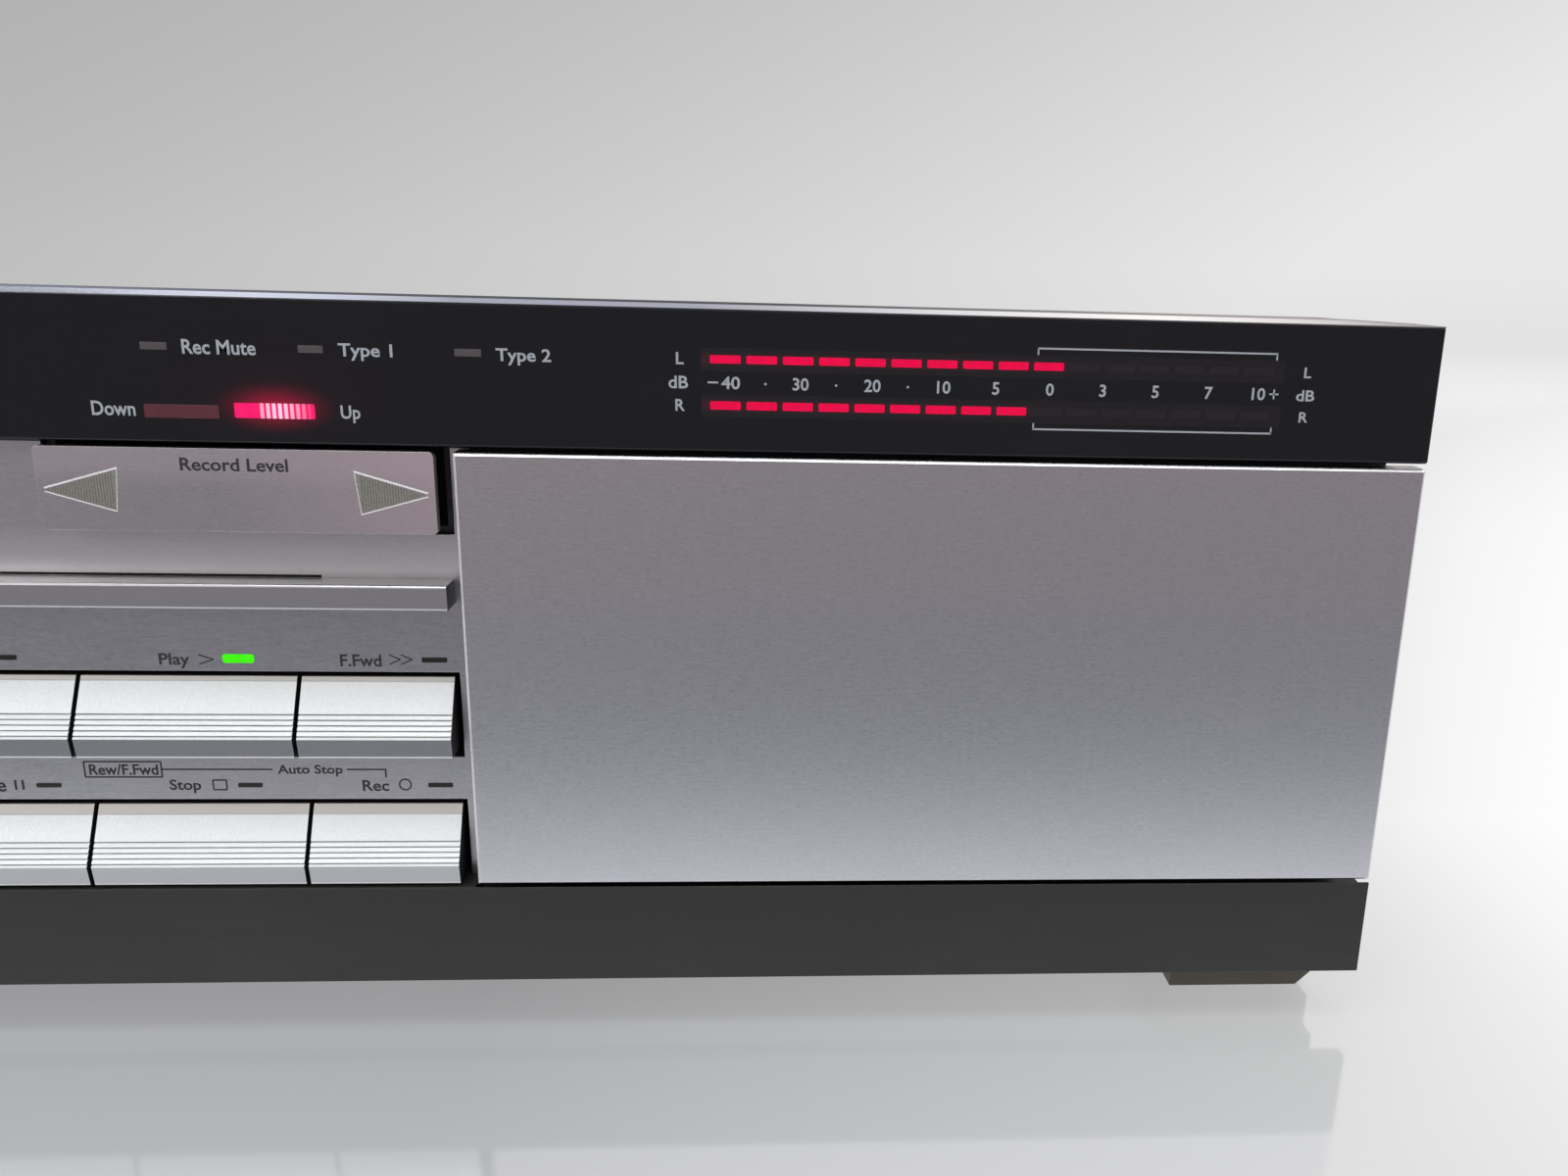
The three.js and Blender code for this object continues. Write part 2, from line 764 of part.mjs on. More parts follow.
// Light metal fascia round the cassette door, the fader and the keys
function makeFascia() {
  const through = [fasciaFront - overrun, frameFront + overrun];
  const right = trayLeft - seatGap;
  const sheet = block([-halfWidth, right], [fasciaFront, frameFront], [plinthHeight, windowBottom]);
  const notchHalf = rockerWidth / 2 + rockerNotchMargin;
  const notch = block(
    [rockerCentre - notchHalf, rockerCentre + notchHalf],
    through,
    [rockerBottom - rockerNotchDrop, windowBottom + overrun],
  );
  const opening = block([wellLeft, wellRight], through, [plinthHeight - overrun, windowBottom - seatGap]);
  const rows = [keyWell(keyTopRow, through), keyWell(keyLowRow, through)];
  const relief = doorRelief(frameFront + overrun);
  const top = ledgeBase + ledgeHeight;
  const slot = block(
    [keyWellLeft, keyRight - ledgeSlotMargin],
    [fasciaFront - overrun, fasciaFront + ledgeSlotDepth],
    [top, top + ledgeSlotHeight],
  );
  add("fascia", cut(sheet, notch, opening, relief, slot, ...rows, ...buttonHoles(through)), satinMetal);

  const ledge = [
    [fasciaFront, ledgeBase],
    [fasciaFront, top],
    [ledgeChamfer, top],
    [0, top - ledgeChamfer],
    [0, ledgeBase + ledgeChamfer],
    [ledgeChamfer, ledgeBase],
  ];
  add("ledge_bar", prism(ledge, [keyWellLeft, keyWellRight]), satinMetal);
}

// What the top trim loses at one end, where it runs down to a thin tip
function trimTip(side) {
  const root = side * (halfWidth - trimTipLength);
  const outside = side * (halfWidth + overrun);
  const tipTop = windowTop + trimTipHeight;
  const outline = new THREE.Shape();
  outline.moveTo(root, frontTop);
  outline.quadraticCurveTo(root + (side * trimTipLength) / 3, (frontTop + tipTop) / 2, side * halfWidth, tipTop);
  outline.lineTo(outside, tipTop);
  outline.lineTo(outside, frontTop + overrun);
  outline.lineTo(root, frontTop + overrun);
  return upright(outline, [-overrun, frameBack + overrun]);
}

function makeWindowAndTrim() {
  const glass = [
    [edgeChamfer / 2, windowBottom],
    [windowThickness, windowBottom],
    [windowThickness, windowTop],
    [0, windowTop],
    [0, windowBottom + edgeChamfer / 2],
  ];
  add("display_window", prism(glass, [-halfWidth, halfWidth]), blackWindow);
  const trim = [
    [0, windowTop],
    [frameBack, windowTop],
    [frameBack, frontTop],
    [edgeChamfer, frontTop],
    [0, frontTop - edgeChamfer],
  ];
  const bar = prism(trim, [-halfWidth, halfWidth]);
  add("top_trim", cut(bar, trimTip(-1), trimTip(1)), trimMetal);
}

// Plinth: a channel with a trough behind its lip, where the edge of the control door swings
function makePlinth() {
  const wall = frameFront / 2 - overrun;
  const channel = prism([
    [0, 0],
    [wall, 0],
    [wall, troughFloor - wall],
    [frameFront, troughFloor - wall],
    [frameFront, plinthHeight],
    [0, plinthHeight],
  ], [-halfWidth, halfWidth]);
  const trough = prism([
    [troughLip, plinthHeight],
    [troughLip + troughDepth, troughFloor],
    [frameFront + overrun, troughFloor],
    [frameFront + overrun, plinthHeight + overrun],
    [troughLip, plinthHeight + overrun],
  ], [doorLeft - stackGap, halfWidth + overrun]);
  add("plinth", cut(channel, trough), plinthPlastic);
}

function makeControlDoor() {
  const leaf = doorLeaf([doorLeft, halfWidth], [doorBottom, doorTop]);
  const leftEar = trayLeft + earThickness;
  const rightEar = trayRight - earThickness;
  const left = hingeLug(
    [leftEar + seatGap, leftEar + seatGap + lugWidth],
    doorHingeZ,
    [trayLeft, leftEar + seatGap + pinRadius],
  );
  const right = hingeLug(
    [rightEar - seatGap - lugWidth, rightEar - seatGap],
    doorHingeZ,
    [rightEar - seatGap - pinRadius, trayRight],
  );
  add("control_door", join(leaf, left, right), satinMetal);
}

// Three columns of a level knob over a selector lever, then the headphone jack, evenly spaced
const knobCount = 3;
const knobHeightShare = 0.62;
const leverHeightShare = 0.24;
const trayLevel = (share) => trayBottom + share * (trayTop - trayBottom);
const trayInside = trayRight - trayLeft - 2 * trayWall;
const columnGap = (trayInside - 2 * knobCount * knobRadius - 2 * jackBezelRadius) / (knobCount + 2);
const columnLeft = trayLeft + trayWall + columnGap + knobRadius;
const columnPitch = 2 * knobRadius + columnGap;
const columns = [0, 1, 2].map((column) => columnLeft + column * columnPitch);
const phoneX = trayRight - trayWall - columnGap - jackBezelRadius;

function makeControlPanel() {
  const walls = cut(
    block([trayLeft, trayRight], [frameFront, panelBack], [trayBottom, trayTop]),
    block(
      [trayLeft + trayWall, trayRight - trayWall],
      [frameFront - overrun, panelFront],
      [trayBottom + trayWall, trayTop - trayWall],
    ),
  );
  const through = [panelFront - overrun, panelBack + overrun];
  const knobZ = trayLevel(knobHeightShare);
  const leverZ = trayLevel(leverHeightShare);
  const holes = columns.map((x) => barY(x, through, knobZ, knobShaftRadius + clearance));
  const slots = columns.map((x) => {
    const reach = leverTravel + leverStemWidth / 2 + clearance;
    const half = leverStemWidth / 2 + clearance;
    return block([x - reach, x + reach], through, [leverZ - half, leverZ + half]);
  });
  const socket = barY(phoneX, through, leverZ, jackBarrelRadius + seatGap);
  const ears = [
    hingeEar([trayLeft, trayLeft + earThickness], doorHingeZ),
    hingeEar([trayRight - earThickness, trayRight], doorHingeZ),
  ];
  add("control_panel", join(cut(walls, socket, ...holes, ...slots), ...ears), darkPlastic);

  const bezel = turned([
    [0, panelBack + jackBarrelLength],
    [jackBarrelRadius, panelBack + jackBarrelLength],
    [jackBarrelRadius, panelFront],
    [jackBezelRadius, panelFront],
    [jackBezelRadius, panelFront - jackBezelLength],
    [jackBoreRadius, panelFront - jackBezelLength],
    [jackBoreRadius, panelBack + jackBarrelLength - jackBezelLength],
    [0, panelBack + jackBarrelLength - jackBezelLength],
  ].reverse(), phoneX, leverZ);
  add("headphone_jack", bezel, darkPlastic);
}

function makeControls() {
  const knobZ = trayLevel(knobHeightShare);
  const leverZ = trayLevel(leverHeightShare);
  const back = panelFront - seatGap;
  const front = back - knobLength;
  ["left", "right", "output"].forEach((name, index) => {
    const x = columns[index];
    const body = turned([
      [0, front],
      [knobRadius - edgeChamfer, front],
      [knobRadius, front + edgeChamfer],
      [knobRadius, back],
      [knobShaftRadius, back],
      [knobShaftRadius, panelBack + potDepth / 2],
      [0, panelBack + potDepth / 2],
    ], x, knobZ);
    const flutes = [];
    for (let turn = 0; turn < knobFlutes; turn += 1) {
      const angle = ((turn + 1 / 2) / knobFlutes) * 2 * Math.PI;
      const at = [x + knobRadius * Math.sin(angle), knobZ + knobRadius * Math.cos(angle)];
      flutes.push(barY(at[0], [front - overrun, back - edgeChamfer], at[1], fluteRadius, fluteSides));
    }
    const pointer = block(
      [x - fluteRadius / 2, x + fluteRadius / 2],
      [front - overrun, front + fluteRadius / 2],
      [knobZ + knobRadius / 3, knobZ + knobRadius],
    );
    add(`level_knob_${name}`, cut(body, pointer, ...flutes), brightKey);
  });

  ["monitor", "timer", "tape"].forEach((name, index) => {
    const x = columns[index];
    const cap = prism([
      [back - leverLength, leverZ - leverHeight / 2],
      [back, leverZ - leverHeight / 2],
      [back, leverZ + leverHeight / 2],
      [back - leverLength, leverZ + leverHeight / 2 - edgeChamfer],
    ], [x - leverWidth / 2, x + leverWidth / 2]);
    const half = leverStemWidth / 2;
    const stem = block([x - half, x + half], [back - overrun, panelBack + overrun], [leverZ - half, leverZ + half]);
    add(`${name}_lever`, join(cap, stem), brightKey);
  });

  const boardFront = panelBack + potDepth;
  const sheet = block(
    [columns[0] - potSize / 2 - boardThickness, columns[knobCount - 1] + potSize / 2 + boardThickness],
    [boardFront, boardFront + boardThickness],
    [knobZ - potSize, knobZ + potSize],
  );
  const pots = columns.map((x) => {
    const half = potSize / 2;
    const can = block([x - half, x + half], [panelBack, boardFront + clearance], [knobZ - half, knobZ + half]);
    return cut(can, barY(x, [panelBack - overrun, panelBack + potDepth - overrun], knobZ, knobShaftRadius + clearance));
  });
  add("control_board", join(sheet, ...pots), boardGreen);
}

// Transport keys: left and right edges, from the right hand key to the left
function keyEdges() {
  const edges = [];
  let right = keyRight;
  for (const width of [sideKeyWidth, centreKeyWidth, sideKeyWidth]) {
    edges.push([right - width, right]);
    right -= width + keyGap;
  }
  return edges;
}

// Side profile of a key: sloping face, ribs up to the crest, short face below
function keyProfile(base) {
  const top = base + keyHeight;
  const crest = base + crestHeight;
  const slope = fasciaRecess / (keyHeight - crestHeight);
  const face = (z) => (z - crest) * slope;
  const points = [
    [keyDepth, base],
    [keyDepth, top],
    [fasciaRecess, top],
  ];
  const pitch = (ribTop - crestHeight) / (ribCount - 1 + lowRibShare);
  for (let rib = 0; rib < ribCount; rib += 1) {
    const z = base + ribTop - rib * pitch;
    points.push([face(z), z]);
    points.push([face(z - pitch / 4) + ribDepth, z - pitch / 4]);
    points.push([face(z - pitch / 2), z - pitch / 2]);
  }
  points.push([0, crest]);
  points.push([keyToe, base]);
  return points;
}

function makeKeys() {
  const names = [
    ["forward_key", "play_key", "rewind_key"],
    ["record_key", "stop_key", "pause_key"],
  ];
  const plateFront = frameBack + bracketRim;
  const plateBack = plateFront + bracketThickness;
  const stems = [];
  const stemRun = [keyDepth - overrun, keyDepth + stemLength];
  [keyTopRow, keyLowRow].forEach((base, row) => {
    const middle = base + keyHeight / 2;
    keyEdges().forEach((edge, column) => {
      const x = [edge[0] + stemInset, edge[1] - stemInset];
      const z = [middle - stemHeight / 2, middle + stemHeight / 2];
      add(names[row][column], join(prism(keyProfile(base), edge), block(x, stemRun, z)), brightKey);
      stems.push([x, z]);
    });
  });

  const plate = [
    [keyWellLeft - bracketMargin, keyWellRight + bracketMargin],
    [keyLowRow - wellDrop - bracketMargin, keyTopRow + keyHeight + wellMargin + bracketMargin],
  ];
  const slab = block(plate[0], [frameBack, plateBack], plate[1]);
  const tray = block(
    [plate[0][0] + bracketRim, plate[0][1] - bracketRim],
    [frameBack - overrun, plateFront],
    [plate[1][0] + bracketRim, plate[1][1] - bracketRim],
  );
  const holes = stems.map(([x, z]) => {
    return block(
      [x[0] - clearance, x[1] + clearance],
      [frameBack, plateBack + overrun],
      [z[0] - clearance, z[1] + clearance],
    );
  });
  const switchFront = keyDepth + stemLength + keyTravel + seatGap;
  const boardFront = switchFront + switchSize / 2;
  const posts = [];
  for (const x of plate[0]) {
    for (const z of plate[1]) {
      const inX = x + Math.sign(rockerCentre - x) * 2 * postRadius;
      const inZ = z + Math.sign(keyTopRow - z) * 2 * postRadius;
      posts.push(barY(inX, [plateFront + clearance, boardFront], inZ, postRadius));
    }
  }
  add("key_bracket", join(cut(slab, tray, ...holes), ...posts), darkPlastic);

  const sheet = block(plate[0], [boardFront, boardFront + boardThickness], plate[1]);
  const switches = stems.map(([x, z]) => {
    const middle = [(x[0] + x[1]) / 2, (z[0] + z[1]) / 2];
    const half = switchSize / 2;
    return block(
      [middle[0] - half, middle[0] + half],
      [switchFront, boardFront + clearance],
      [middle[1] - half, middle[1] + half],
    );
  });
  add("key_board", join(sheet, ...switches), boardGreen);
}

// Fader rocker: a long face on a stem that pivots on two upright pins
function makeRocker() {
  const half = rockerWidth / 2;
  const x = [rockerCentre - half, rockerCentre + half];
  const face = panel(x, [0, rockerFace], [rockerBottom, rockerTop], edgeChamfer);
  const body = block(
    [x[0] + rockerShoulder, x[1] - rockerShoulder],
    [rockerFace - clearance, rockerBodyDepth],
    [rockerBottom + clearance, rockerTop - clearance],
  );
  const stemHalf = rockerStemWidth / 2;
  const stem = block(
    [rockerCentre - stemHalf, rockerCentre + stemHalf],
    [rockerBodyDepth - overrun, rockerPivotSetback + rockerPinRadius + clearance],
    [rockerBottom + clearance, rockerTop - clearance],
  );
  const pins = barZ(
    rockerCentre,
    rockerPivotSetback,
    [rockerBottom - rockerShoulder / 2, rockerTop + rockerShoulder / 2],
    rockerPinRadius,
  );
  add("fader_rocker", join(face, body, stem, pins), satinMetal);
}

// Cassette door: framed leaf, smoked pane and the holder that the cassette drops into
function makeCassetteDoor() {
  const x = [cassetteDoorLeft, cassetteDoorRight];
  const z = [cassetteDoorBottom, doorTop];
  const pane = [
    [cassetteCentre - paneWidth / 2, cassetteCentre + paneWidth / 2],
    [cassetteDoorBottom + paneLift, doorTop - paneDrop],
  ];
  const sight = panel(pane[0], [-overrun, skinThickness + overrun], pane[1], paneRadius);
  const leftEar = wellLeft + earThickness;
  const rightEar = wellRight - earThickness;
  const left = hingeLug(
    [leftEar + seatGap, leftEar + seatGap + lugWidth],
    cassetteHingeZ,
    [wellLeft + seatGap, leftEar + seatGap + pinRadius],
  );
  const right = hingeLug(
    [rightEar - seatGap - lugWidth, rightEar - seatGap],
    cassetteHingeZ,
    [rightEar - seatGap - pinRadius, wellRight - seatGap],
  );
  add("cassette_door", join(cut(doorLeaf(x, z), sight), left, right), satinMetal);

  const plug = panel(
    [pane[0][0] + seatGap, pane[0][1] - seatGap],
    [edgeChamfer / 2, skinThickness + overrun],
    [pane[1][0] + seatGap, pane[1][1] - seatGap],
    paneRadius - seatGap,
  );
  const sheet = block(
    [pane[0][0] - paneLedge, pane[0][1] + paneLedge],
    [skinThickness, skinThickness + paneThickness],
    [pane[1][0] - paneLedge, pane[1][1] + paneLedge],
  );
  add("cassette_window", join(plug, sheet), smokedPane);

  const inner = cassetteWidth / 2;
  const outer = inner + holderWall;
  const front = skinThickness + paneThickness;
  const top = cassetteBottom + cassetteHeight - holderTopMargin;
  const parts = [];
  for (const side of [-1, 1]) {
    const wall = [cassetteCentre + side * inner, cassetteCentre + side * outer].sort((a, b) => a - b);
    const lip = [cassetteCentre + side * (inner - holderLip), cassetteCentre + side * outer].sort((a, b) => a - b);
    parts.push(block(wall, [skinThickness, holderDepth], [cassetteBottom - holderWall, top]));
    parts.push(block(lip, [holderDepth - holderWall, holderDepth], [cassetteBottom - holderWall, top]));
    parts.push(block(lip, [skinThickness, holderDepth], [cassetteBottom - holderWall, cassetteBottom]));
  }
  const sill = block(
    [cassetteCentre - outer, cassetteCentre + outer],
    [skinThickness, front],
    [cassetteBottom - holderWall, cassetteBottom],
  );
  add("cassette_holder", join(sill, ...parts), darkPlastic);
}

// Tape drive: plates, hubs, capstans with flywheels, belt, motors, head base and pinch rollers
function makeTapeDrive() {
  const left = wellLeft - wellWall;
  const right = wellRight + wellWall;
  const low = plinthHeight - wellWall;
  const high = wellTop + wellWall;
  const bossRun = [mechanismFront - 2 * armThickness, mechanismFront + overrun];
  const flyFront = mechanismBack + flywheelGap;
  const flyBack = flyFront + flywheelThickness;
  const thrustFront = flyBack + bracketGap;
  const thrustBack = thrustFront + thrustThickness;
  const armFront = mechanismFront - armThickness - seatGap;
  const pinchX = capstanSpacing / 2;
  const pinchZ = capstanZ - capstanRadius - rollerRadius - rollerGap;
  const sides = [["left", -1], ["right", 1]];

  const plate = block([left, right], [mechanismFront, mechanismBack], [low, high]);
  const through = [mechanismFront - overrun, mechanismBack + overrun];
  const holes = [];
  const pins = [];
  const postRun = [mechanismBack - overrun, thrustFront];
  const posts = [barY(cassetteCentre, postRun, low + mechanismMargin, postRadius)];
  for (const [, side] of sides) {
    const hubX = cassetteCentre + (side * hubSpacing) / 2;
    const capstanX = cassetteCentre + side * pinchX;
    const guideX = cassetteCentre + (side * guideSpacing) / 2;
    const armX = cassetteCentre + side * (pinchX + armReach);
    holes.push(barY(hubX, through, hubZ, hubShaftRadius + seatGap));
    holes.push(barY(capstanX, through, capstanZ, capstanRadius + seatGap));
    pins.push(barY(guideX, bossRun, cassetteBottom, guidePinRadius));
    pins.push(barY(armX, bossRun, pinchZ - armDrop, guidePinRadius));
    const postX = side < 0 ? left + mechanismMargin : right - mechanismMargin;
    posts.push(barY(postX, postRun, high - mechanismMargin, postRadius));
  }
  add("mechanism_plate", join(cut(plate, ...holes), ...pins, ...posts), zincSteel);

  for (const [name, side] of sides) {
    const x = cassetteCentre + (side * hubSpacing) / 2;
    const front = mechanismFront - hubLength;
    const tableFront = mechanismFront - tableThickness - seatGap;
    const spindle = turned([
      [0, front],
      [hubRadius / 2, front],
      [hubRadius, front + hubRadius],
      [hubRadius, tableFront],
      [tableRadius, tableFront],
      [tableRadius, mechanismFront - seatGap],
      [hubShaftRadius, mechanismFront - seatGap],
      [hubShaftRadius, mechanismBack + hubTail],
      [0, mechanismBack + hubTail],
    ], x, hubZ);
    const fins = [];
    for (let turn = 0; turn < hubSplines; turn += 1) {
      const fin = new THREE.BoxGeometry(splineWidth, tableFront - front - hubRadius, hubRadius + splineHeight);
      fin.translate(0, 0, (hubRadius + splineHeight) / 2);
      fin.rotateY((turn / hubSplines) * 2 * Math.PI);
      fin.translate(x, (tableFront + front + hubRadius) / 2 + clearance, hubZ);
      fins.push(solid(fin));
    }
    add(`hub_${name}`, join(spindle, ...fins), darkPlastic);
  }

  for (const [name, side] of sides) {
    const x = cassetteCentre + side * pinchX;
    const front = mechanismFront - capstanReach;
    const web = flywheelRecess;
    add(`capstan_${name}`, turned([
      [0, front],
      [capstanRadius, front],
      [capstanRadius, flyFront],
      [flywheelRadius, flyFront],
      [flywheelRadius, flyBack],
      [flywheelRadius - flywheelRim, flyBack],
      [flywheelRadius - flywheelRim, flyBack - web],
      [flywheelBoss, flyBack - web],
      [flywheelBoss, flyBack],
      [capstanRadius, flyBack],
      [capstanRadius, thrustFront - seatGap],
      [0, thrustFront - seatGap],
    ], x, capstanZ), zincSteel);
  }

  makeDriveBack({ left, right, low, high, flyFront, thrustFront, thrustBack });
  makePinchAndHead({ armFront, pinchX, pinchZ, sides });
}

// The drive behind the flywheels: thrust plate, motors, pulley and belt
function makeDriveBack({ left, right, low, high, flyFront, thrustFront, thrustBack }) {
  const pulleyZ = capstanZ + pulleyRise - flywheelRadius / 2;
  const motorHole = barY(
    cassetteCentre,
    [thrustFront - overrun, thrustBack + overrun],
    pulleyZ,
    motorBossRadius + seatGap,
  );
  add("thrust_plate", cut(
    block([left, right], [thrustFront, thrustBack], [low, high]),
    motorHole,
  ), zincSteel);

  add("capstan_motor", turned([
    [0, thrustBack + overrun],
    [motorShaftRadius + seatGap, thrustBack + overrun],
    [motorShaftRadius + seatGap, thrustBack - motorBossLength],
    [motorBossRadius, thrustBack - motorBossLength],
    [motorBossRadius, thrustBack],
    [motorRadius, thrustBack],
    [motorRadius, thrustBack + motorLength],
    [0, thrustBack + motorLength],
  ], cassetteCentre, pulleyZ), zincSteel);

  const beltMiddle = flyFront + flywheelThickness / 2;
  const pulleyRun = [beltMiddle - beltWidth / 2 - seatGap, beltMiddle + beltWidth / 2 + seatGap];
  add("motor_pulley", turned([
    [0, pulleyRun[0]],
    [pulleyRadius, pulleyRun[0]],
    [pulleyRadius, pulleyRun[1]],
    [motorShaftRadius, pulleyRun[1]],
    [motorShaftRadius, thrustBack],
    [0, thrustBack],
  ], cassetteCentre, pulleyZ), brass);

  add("reel_motor", turned([
    [0, thrustBack],
    [reelMotorRadius - edgeChamfer, thrustBack],
    [reelMotorRadius, thrustBack + edgeChamfer],
    [reelMotorRadius, thrustBack + reelMotorLength],
    [0, thrustBack + reelMotorLength],
  ], cassetteCentre + reelMotorOffset, pulleyZ), zincSteel);

  const wheels = [
    [cassetteCentre - capstanSpacing / 2, capstanZ, flywheelRadius],
    [cassetteCentre + capstanSpacing / 2, capstanZ, flywheelRadius],
    [cassetteCentre, pulleyZ, pulleyRadius],
  ];
  const run = [beltMiddle - beltWidth / 2, beltMiddle + beltWidth / 2];
  const wide = [run[0] - overrun, run[1] + overrun];
  add("capstan_belt", cut(
    upright(beltOutline(wheels, seatGap + beltThickness), run),
    upright(beltOutline(wheels, seatGap), wide),
  ), rubber);
}

// Outline round three wheels: two alike at one height and a small one between and above them
function beltOutline(wheels, gap) {
  const [[leftX, lowZ, bigRadius], [rightX], [topX, topZ, smallRadius]] = wheels;
  const big = bigRadius + gap;
  const small = smallRadius + gap;
  const reach = Math.hypot(rightX - topX, topZ - lowZ);
  const lean = Math.atan2(topZ - lowZ, topX - rightX);
  const tilt = Math.acos((big - small) / reach);
  const right = lean - tilt;
  const quarter = Math.PI / 2;
  const outline = new THREE.Shape();
  outline.moveTo(leftX, lowZ - big);
  outline.lineTo(rightX, lowZ - big);
  arcPoints(outline, rightX, lowZ, big, -quarter, right, smallSides);
  arcPoints(outline, topX, topZ, small, right, Math.PI - right, smallSides / 2);
  arcPoints(outline, leftX, lowZ, big, Math.PI - right, 3 * quarter, smallSides);
  return outline;
}

function arcPoints(outline, x, z, radius, from, to, steps) {
  for (let step = 0; step <= steps; step += 1) {
    const angle = from + ((to - from) * step) / steps;
    outline.lineTo(x + radius * Math.cos(angle), z + radius * Math.sin(angle));
  }
}

function makePinchAndHead({ armFront, pinchX, pinchZ, sides }) {
  const armBack = armFront + armThickness;
  for (const [name, side] of sides) {
    const pivot = [cassetteCentre + side * (pinchX + armReach), pinchZ - armDrop];
    const roller = [cassetteCentre + side * pinchX, pinchZ];
    const length = Math.hypot(pivot[0] - roller[0], pivot[1] - roller[1]);
    const bar = new THREE.BoxGeometry(length, armThickness, armWidth);
    bar.rotateY(-Math.atan2(pivot[1] - roller[1], pivot[0] - roller[0]));
    bar.translate((pivot[0] + roller[0]) / 2, (armFront + armBack) / 2, (pivot[1] + roller[1]) / 2);
    const rollerFront = armFront - seatGap - rollerLength;
    const arm = join(
      solid(bar),
      barY(pivot[0], [armFront, armBack], pivot[1], armWidth / 2),
      barY(roller[0], [armFront, armBack], roller[1], armWidth / 2),
      barY(roller[0], [rollerFront - seatGap, armBack], roller[1], armPinRadius),
    );
    const hole = barY(pivot[0], [armFront - overrun, armBack + overrun], pivot[1], guidePinRadius + seatGap);
    add(`pinch_arm_${name}`, cut(arm, hole), zincSteel);
    add(`pinch_roller_${name}`, cut(
      barY(roller[0], [rollerFront, armFront - seatGap], roller[1], rollerRadius, roundSides),
      barY(roller[0], [rollerFront - overrun, armFront], roller[1], armPinRadius + seatGap),
    ), rubber);
  }

  const plate = panel(
    [cassetteCentre - headPlateWidth / 2, cassetteCentre + headPlateWidth / 2],
    [armFront, armBack],
    [plinthHeight + stackGap, cassetteBottom + headPlateRise],
    edgeChamfer,
  );
  const headTop = cassetteBottom - headGap;
  const head = panel(
    [cassetteCentre - headWidth / 2, cassetteCentre + headWidth / 2],
    [armFront - headDepth, armFront + clearance],
    [headTop - headHeight, headTop],
    edgeChamfer,
  );
  const slots = sides.map(([, side]) => {
    const x = cassetteCentre + (side * guideSpacing) / 2;
    const half = guidePinRadius + seatGap;
    return block(
      [x - half, x + half],
      [armFront - overrun, armBack + overrun],
      [cassetteBottom - headTravel - half, cassetteBottom + half],
    );
  });
  add("head_base", cut(join(plate, head), ...slots), zincSteel);
}

// Boards inside: the display behind the window, and the main board on the base pan
function makeBoards() {
  const sheetBack = displayBack - seatGap;
  const sheetFront = sheetBack - boardThickness;
  const sheet = displayBay(seatGap, [sheetFront, sheetBack]);
  const modules = [-1, 1].map((side) => {
    const z = (windowBottom + windowTop - meterHeight + side * meterPitch) / 2 + meterRise;
    return block(
      [meterRight - meterLength, meterRight],
      [windowThickness + seatGap, sheetFront + clearance],
      [z, z + meterHeight],
    );
  });
  add("display_board", join(sheet, ...modules), boardGreen);

  const base = panThickness + standoffHeight;
  const boardLeft = mainBoardRight - mainBoardWidth;
  const board = block(
    [boardLeft, mainBoardRight],
    [mainBoardFront, mainBoardFront + mainBoardDepth],
    [base, base + boardThickness],
  );
  const cans = [1, 2, 3].map((count) => {
    const x = boardLeft + count * 3 * capacitorRadius;
    const y = mainBoardFront + mainBoardDepth - 3 * capacitorRadius;
    return barZ(x, y, [base, base + boardThickness + capacitorHeight], capacitorRadius, roundSides);
  });
  add("main_board", join(board, ...cans), boardGreen);

  const x = [-cabinetHalf + coreMargin, -cabinetHalf + coreMargin + coreWidth];
  const middleX = (x[0] + x[1]) / 2;
  const backY = rearFront - 2 * coreMargin;
  const middleY = backY - coilDepth / 2;
  const foot = block(
    [x[0] - coreMargin / 3, x[1] + coreMargin / 3],
    [middleY - coreDepth / 2, middleY + coreDepth / 2],
    [panThickness, panThickness + coreFoot],
  );
  const core = block(x, [middleY - coreDepth / 2, middleY + coreDepth / 2], [panThickness, panThickness + coreHeight]);
  const coil = barZ(
    middleX,
    middleY,
    [panThickness + 3 * coreFoot, panThickness + coreHeight - 2 * coreFoot],
    coilDepth / 2,
    smallSides,
  );
  add("transformer", join(foot, core, coil), coreSteel);
}

makeCabinet();
makeRearFittings();
makeFeet();
makeFrontFrame();
makeFascia();
makeWindowAndTrim();
makePlinth();
makeControlDoor();
makeControlPanel();
makeControls();
makeKeys();
makeRocker();
makeButtons();
makeCassetteDoor();
makeTapeDrive();
makeBoards();

export default deck;
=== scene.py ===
"""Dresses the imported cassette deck: finishes, rounded edges, printed legends, lamps, screws and stage."""
import math

import bmesh
import bpy
from bpy.props import FloatProperty, FloatVectorProperty, IntProperty, PointerProperty
from mathutils import Matrix, Vector


